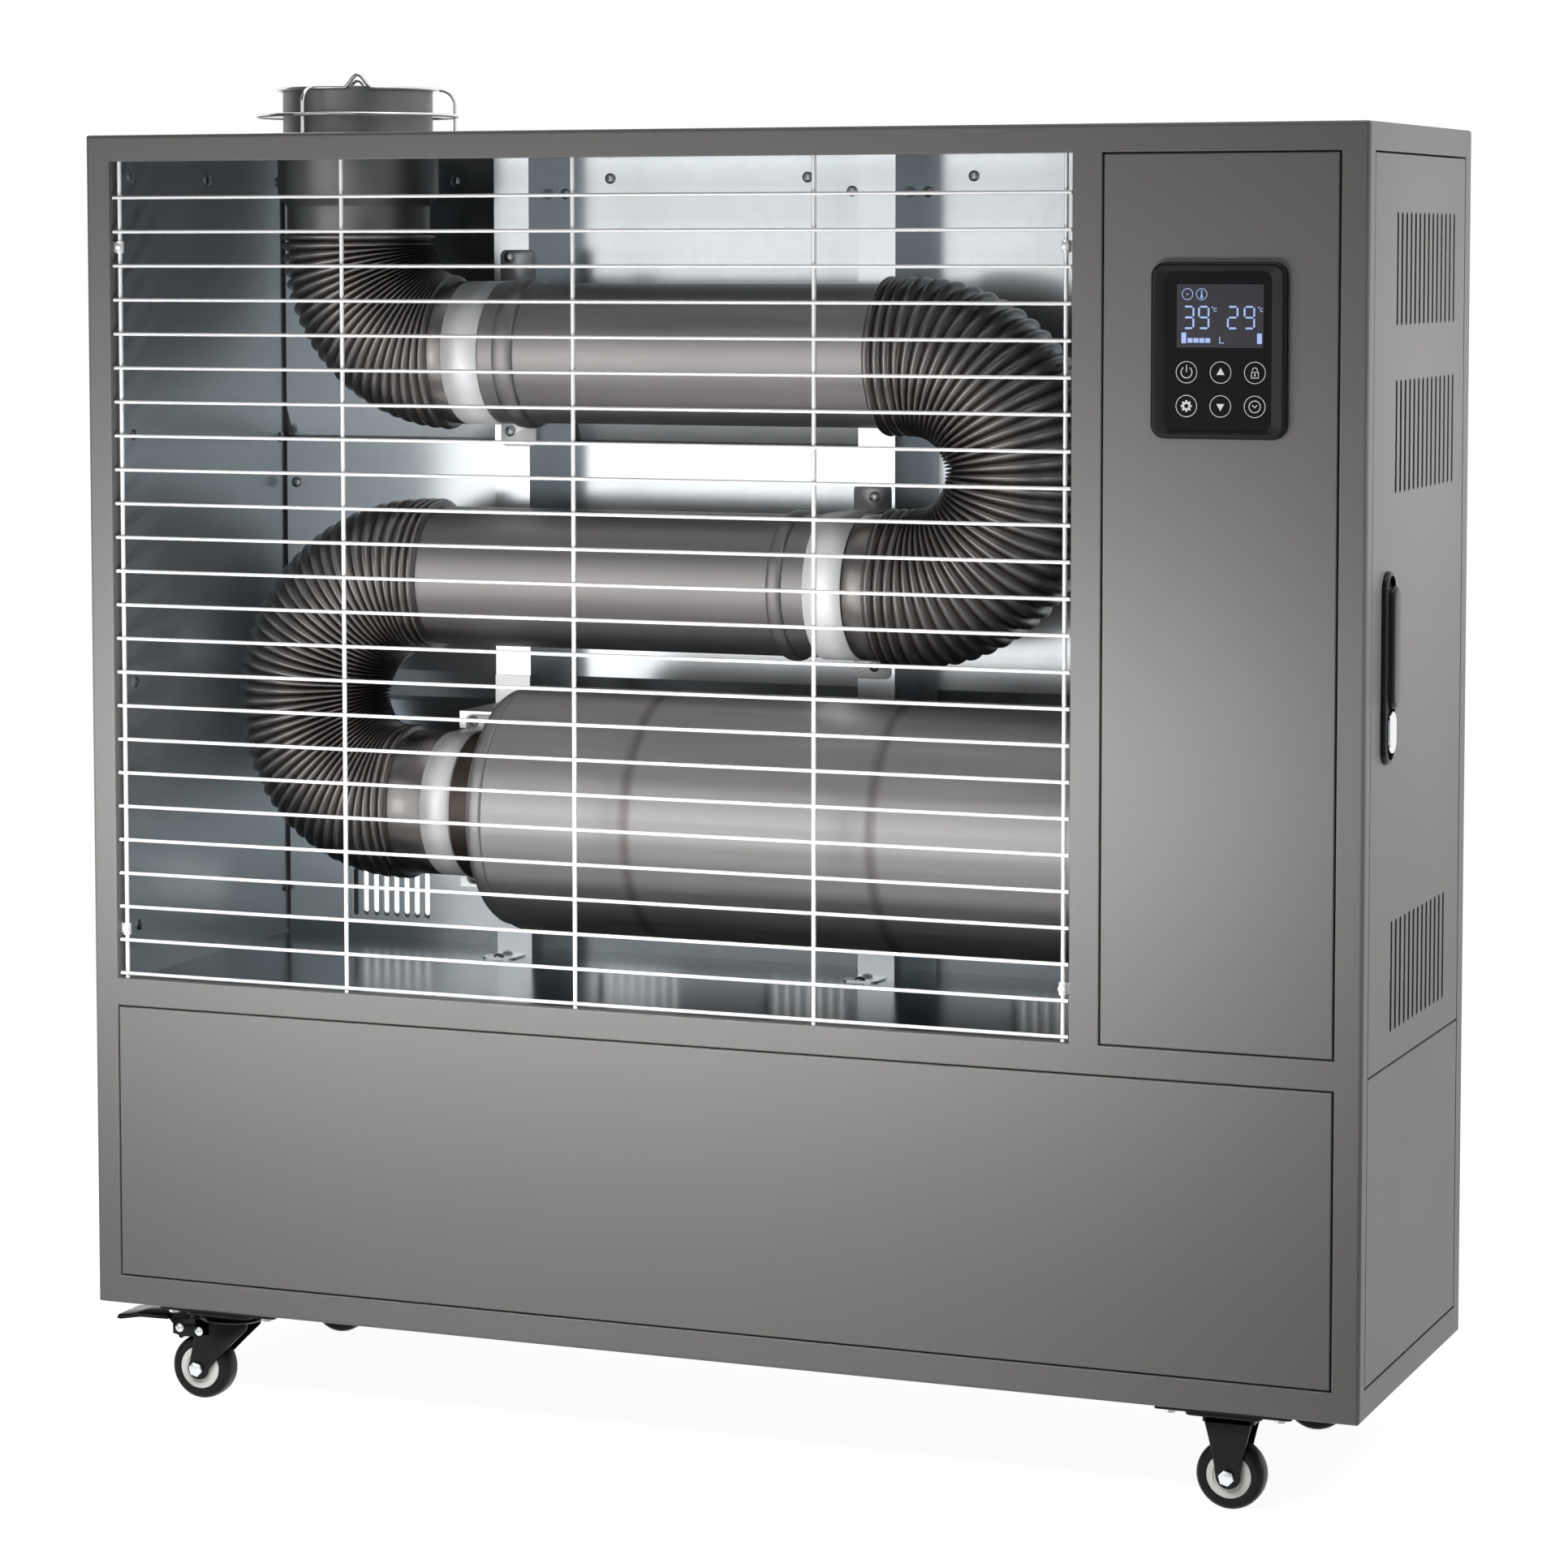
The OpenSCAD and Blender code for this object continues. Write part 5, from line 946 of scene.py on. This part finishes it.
def fork(name, x, y, offset, body, node):
    """Crown, both legs and, on a swivel castor, the ball race's shell."""
    bm = bmesh.new()
    for side in (fork_in, -fork_out):
        leg(bm, x, y + side, y, offset, 19, race_z - 0.3 if offset else -5.5)
    if offset:
        spun_shell(bm, [(-12.8, 5.1), (-12.8, 19.5), (-12.2, 23.5), (-11.0, 26.2), (-10.2, 26.8),
                        (-9.6, 26.6), (-9.6, 26.0), (-10.6, 22.5), (-10.9, 14.5), (-11.0, 5.1)], x, y)
    else:
        rounded_plate(bm, 38, 26.6, 3, 7, shown_from(x, y, -12.6), soft=1.5)
        rounded_plate(bm, 56, 56, 6, 2.5, shown_from(x, y, -3, ("X", 180)), soft=0.8)
    piece(name, bm, castor_black, body, [node] if node else (), angle=35)
    bm = bmesh.new()
    for nut_y, turn_by in ((y - fork_out - 2, 0), (y + fork_out + 2, 180)):
        nut = shown_from(x - offset, nut_y, axle_z, ("X", 90), ("Y", turn_by), ("Z", 15))
        rod(bm, 6, (6.2, 5.8), 4, nut)
    rod(bm, 32, (4, 4), 34.5, shown_from(x - offset, y, axle_z, ("X", 90)))
    bmesh.ops.bevel(bm, geom=[e for e in bm.edges if e.calc_face_angle(0) > 1.2], affect="EDGES",
                    offset=0.0004, segments=2, profile=0.5, material=-1)
    piece(name + "_axle", bm, nut_zinc, body, angle=35)


fork("front_left_fork", left, front, trail, "front_swivel", "front_swivel_fork")
fork("rear_left_fork", left, rear, trail, "rear_swivel", "rear_swivel_fork")
fork("front_right_fork", right, front, 0, "cabinet", "fixed_forks")
fork("rear_right_fork", right, rear, 0, "cabinet", None)

# Castor plates: black steel plates that carry the forks, those of the swivel pair with
# the upper shell of the race, each on a mounting plate with four zinc bolts.
bm = bmesh.new()
for y in (front, rear):
    rounded_plate(bm, 56, 56, 6, 2.5, shown_from(left, y, -3, ("X", 180)), soft=0.8)
    spun_shell(bm, [(-5.5, 5), (-5.5, 19.5), (-8.6, 20.5), (-9.45, 20.2), (-9.45, 5)], left, y)
piece("swivel_plates", bm, castor_black, "cabinet")
castor_spots = [(x, y) for x in (left, right) for y in (front, rear)]
bm = bmesh.new()
for x, y in castor_spots:
    rounded_plate(bm, 100, 56, 3, 3, shown_from(x, y, 0, ("X", 180)), soft=0.5)
piece("castor_mounts", bm, castor_black, "cabinet", ["castor_plates"])
bm = bmesh.new()
for x, y in castor_spots:
    for dx, dy in ((-40, -20), (-40, 20), (40, -20), (40, 20)):
        rod(bm, 6, (4.8, 4.6), 3, shown_from(x + dx, y + dy, -4.4))
piece("castor_bolts", bm, nut_zinc, "cabinet")

# Foot brake of the front left castor: a pressed black tread and arm that turn on a pin
# with riveted heads, between two brackets riveted to the fork.
pivot_x, pivot_z, tread_w = 60.0, -20.0, 32.0
inner_w = 2 * (fork_in - 0.5)
tread = [(-55, 3.2), (-53, 6.5), (-36, 9.0), (-9, 9.0), (-9, 6.0), (-34, 5.6), (-52, 2.4)]
arm = [(-12, 8.6), (-8, 8.8), (3, 4.6), (4.6, 0), (1.0, -7.6), (-0.6, -9.2), (-2.4, -8.8), (-4.6, -2.0),
       (-12, 6.2)]
bm = bmesh.new()
slab(bm, [at(pivot_x + u, front - tread_w / 2, pivot_z + v) for u, v in tread], tread_w)
bmesh.ops.bevel(bm, geom=list(bm.edges), affect="EDGES", offset=0.0008, segments=2, profile=0.5, material=-1)
slab(bm, [at(pivot_x + u, front - inner_w / 2, pivot_z + v) for u, v in arm], inner_w)
piece("brake_tread", bm, castor_black, "pedal", ["brake_pedal"], angle=35)
bm = bmesh.new()
for side, tilt in ((-fork_out, 90), (fork_out, -90)):
    pan_head(bm, shown_from(pivot_x, front + side, pivot_z, ("X", tilt)), 3.4, 1.6)
rod(bm, 24, (2, 2), 26.6, shown_from(pivot_x, front, pivot_z, ("X", 90)))
piece("brake_pin", bm, nut_zinc, "pedal", angle=35)
bracket = [(-46.5, -14.5), (-34, -13.5), (-14, -9.9), (-14, -24), (-30, -26.5), (-38, -27), (-46.5, -25)]
bm = bmesh.new()
for side in (fork_in, -fork_out):
    slab(bm, [at(left + u, front + side, z) for u, z in bracket], leg_t)
bmesh.ops.bevel(bm, geom=list(bm.edges), affect="EDGES", offset=0.0005, segments=2, profile=0.5, material=-1)
piece("brake_brackets", bm, castor_black, "front_swivel", angle=35)
bm = bmesh.new()
for side, tilt in ((-fork_out, 90), (fork_out, -90)):
    pan_head(bm, shown_from(77, front + side, -21.5, ("X", tilt)), 3.4, 1.6)
piece("bracket_rivets", bm, nut_zinc, "front_swivel", angle=35)

# Burner column behind the side door: cast burner housing, motor and pump, pressed
# fan wheel, green boards, black tank with its cap, brass nozzle and copper pipe.
cast_metal = finish("cast_metal", (0.30, 0.31, 0.32), (0.36, 0.37, 0.38), (0.45, 0.60), 600, 0.00006,
                    metallic=0.8)
motor_paint = finish("motor_paint", (0.045, 0.048, 0.052), (0.060, 0.063, 0.068), (0.36, 0.48), 500, 0.00004)
fan_metal = finish("fan_metal", (0.56, 0.57, 0.59), (0.64, 0.65, 0.66), (0.26, 0.36), 300, 0.00001,
                   metallic=1.0)
board_green = finish("board_green", (0.012, 0.085, 0.035), (0.018, 0.120, 0.050), (0.28, 0.40), 220, 0.00004)
tank_paint = finish("tank_paint", (0.020, 0.021, 0.022), (0.028, 0.029, 0.030), (0.34, 0.46), 500, 0.00003)
brass = finish("brass", (0.62, 0.44, 0.17), (0.72, 0.54, 0.24), (0.22, 0.34), 300, 0.00001, metallic=1.0)
copper = finish("copper", (0.66, 0.31, 0.18), (0.76, 0.40, 0.25), (0.20, 0.32), 200, 0.00001, metallic=1.0)
coat_nodes(cast_metal, "cast_housing", "burner_housing", "fuel_pump")
coat_nodes(motor_paint, "cast_housing", "burner_motor")
coat_nodes(fan_metal, "fan_metal", "blower_wheel")
coat_nodes(board_green, "board", "circuit_boards")
coat_nodes(tank_paint, "tank_paint", "fuel_tank")
coat_nodes(brass, "brass", "nozzle_assembly")
coat_nodes(copper, "copper", "fuel_line")
coat_nodes(strip, "strap_steel", "burner_tube", "fuel_filter")
coat_nodes(bezel_plastic, "black_plastic", "ignition_transformer", "cord_gland", "fuel_cap")
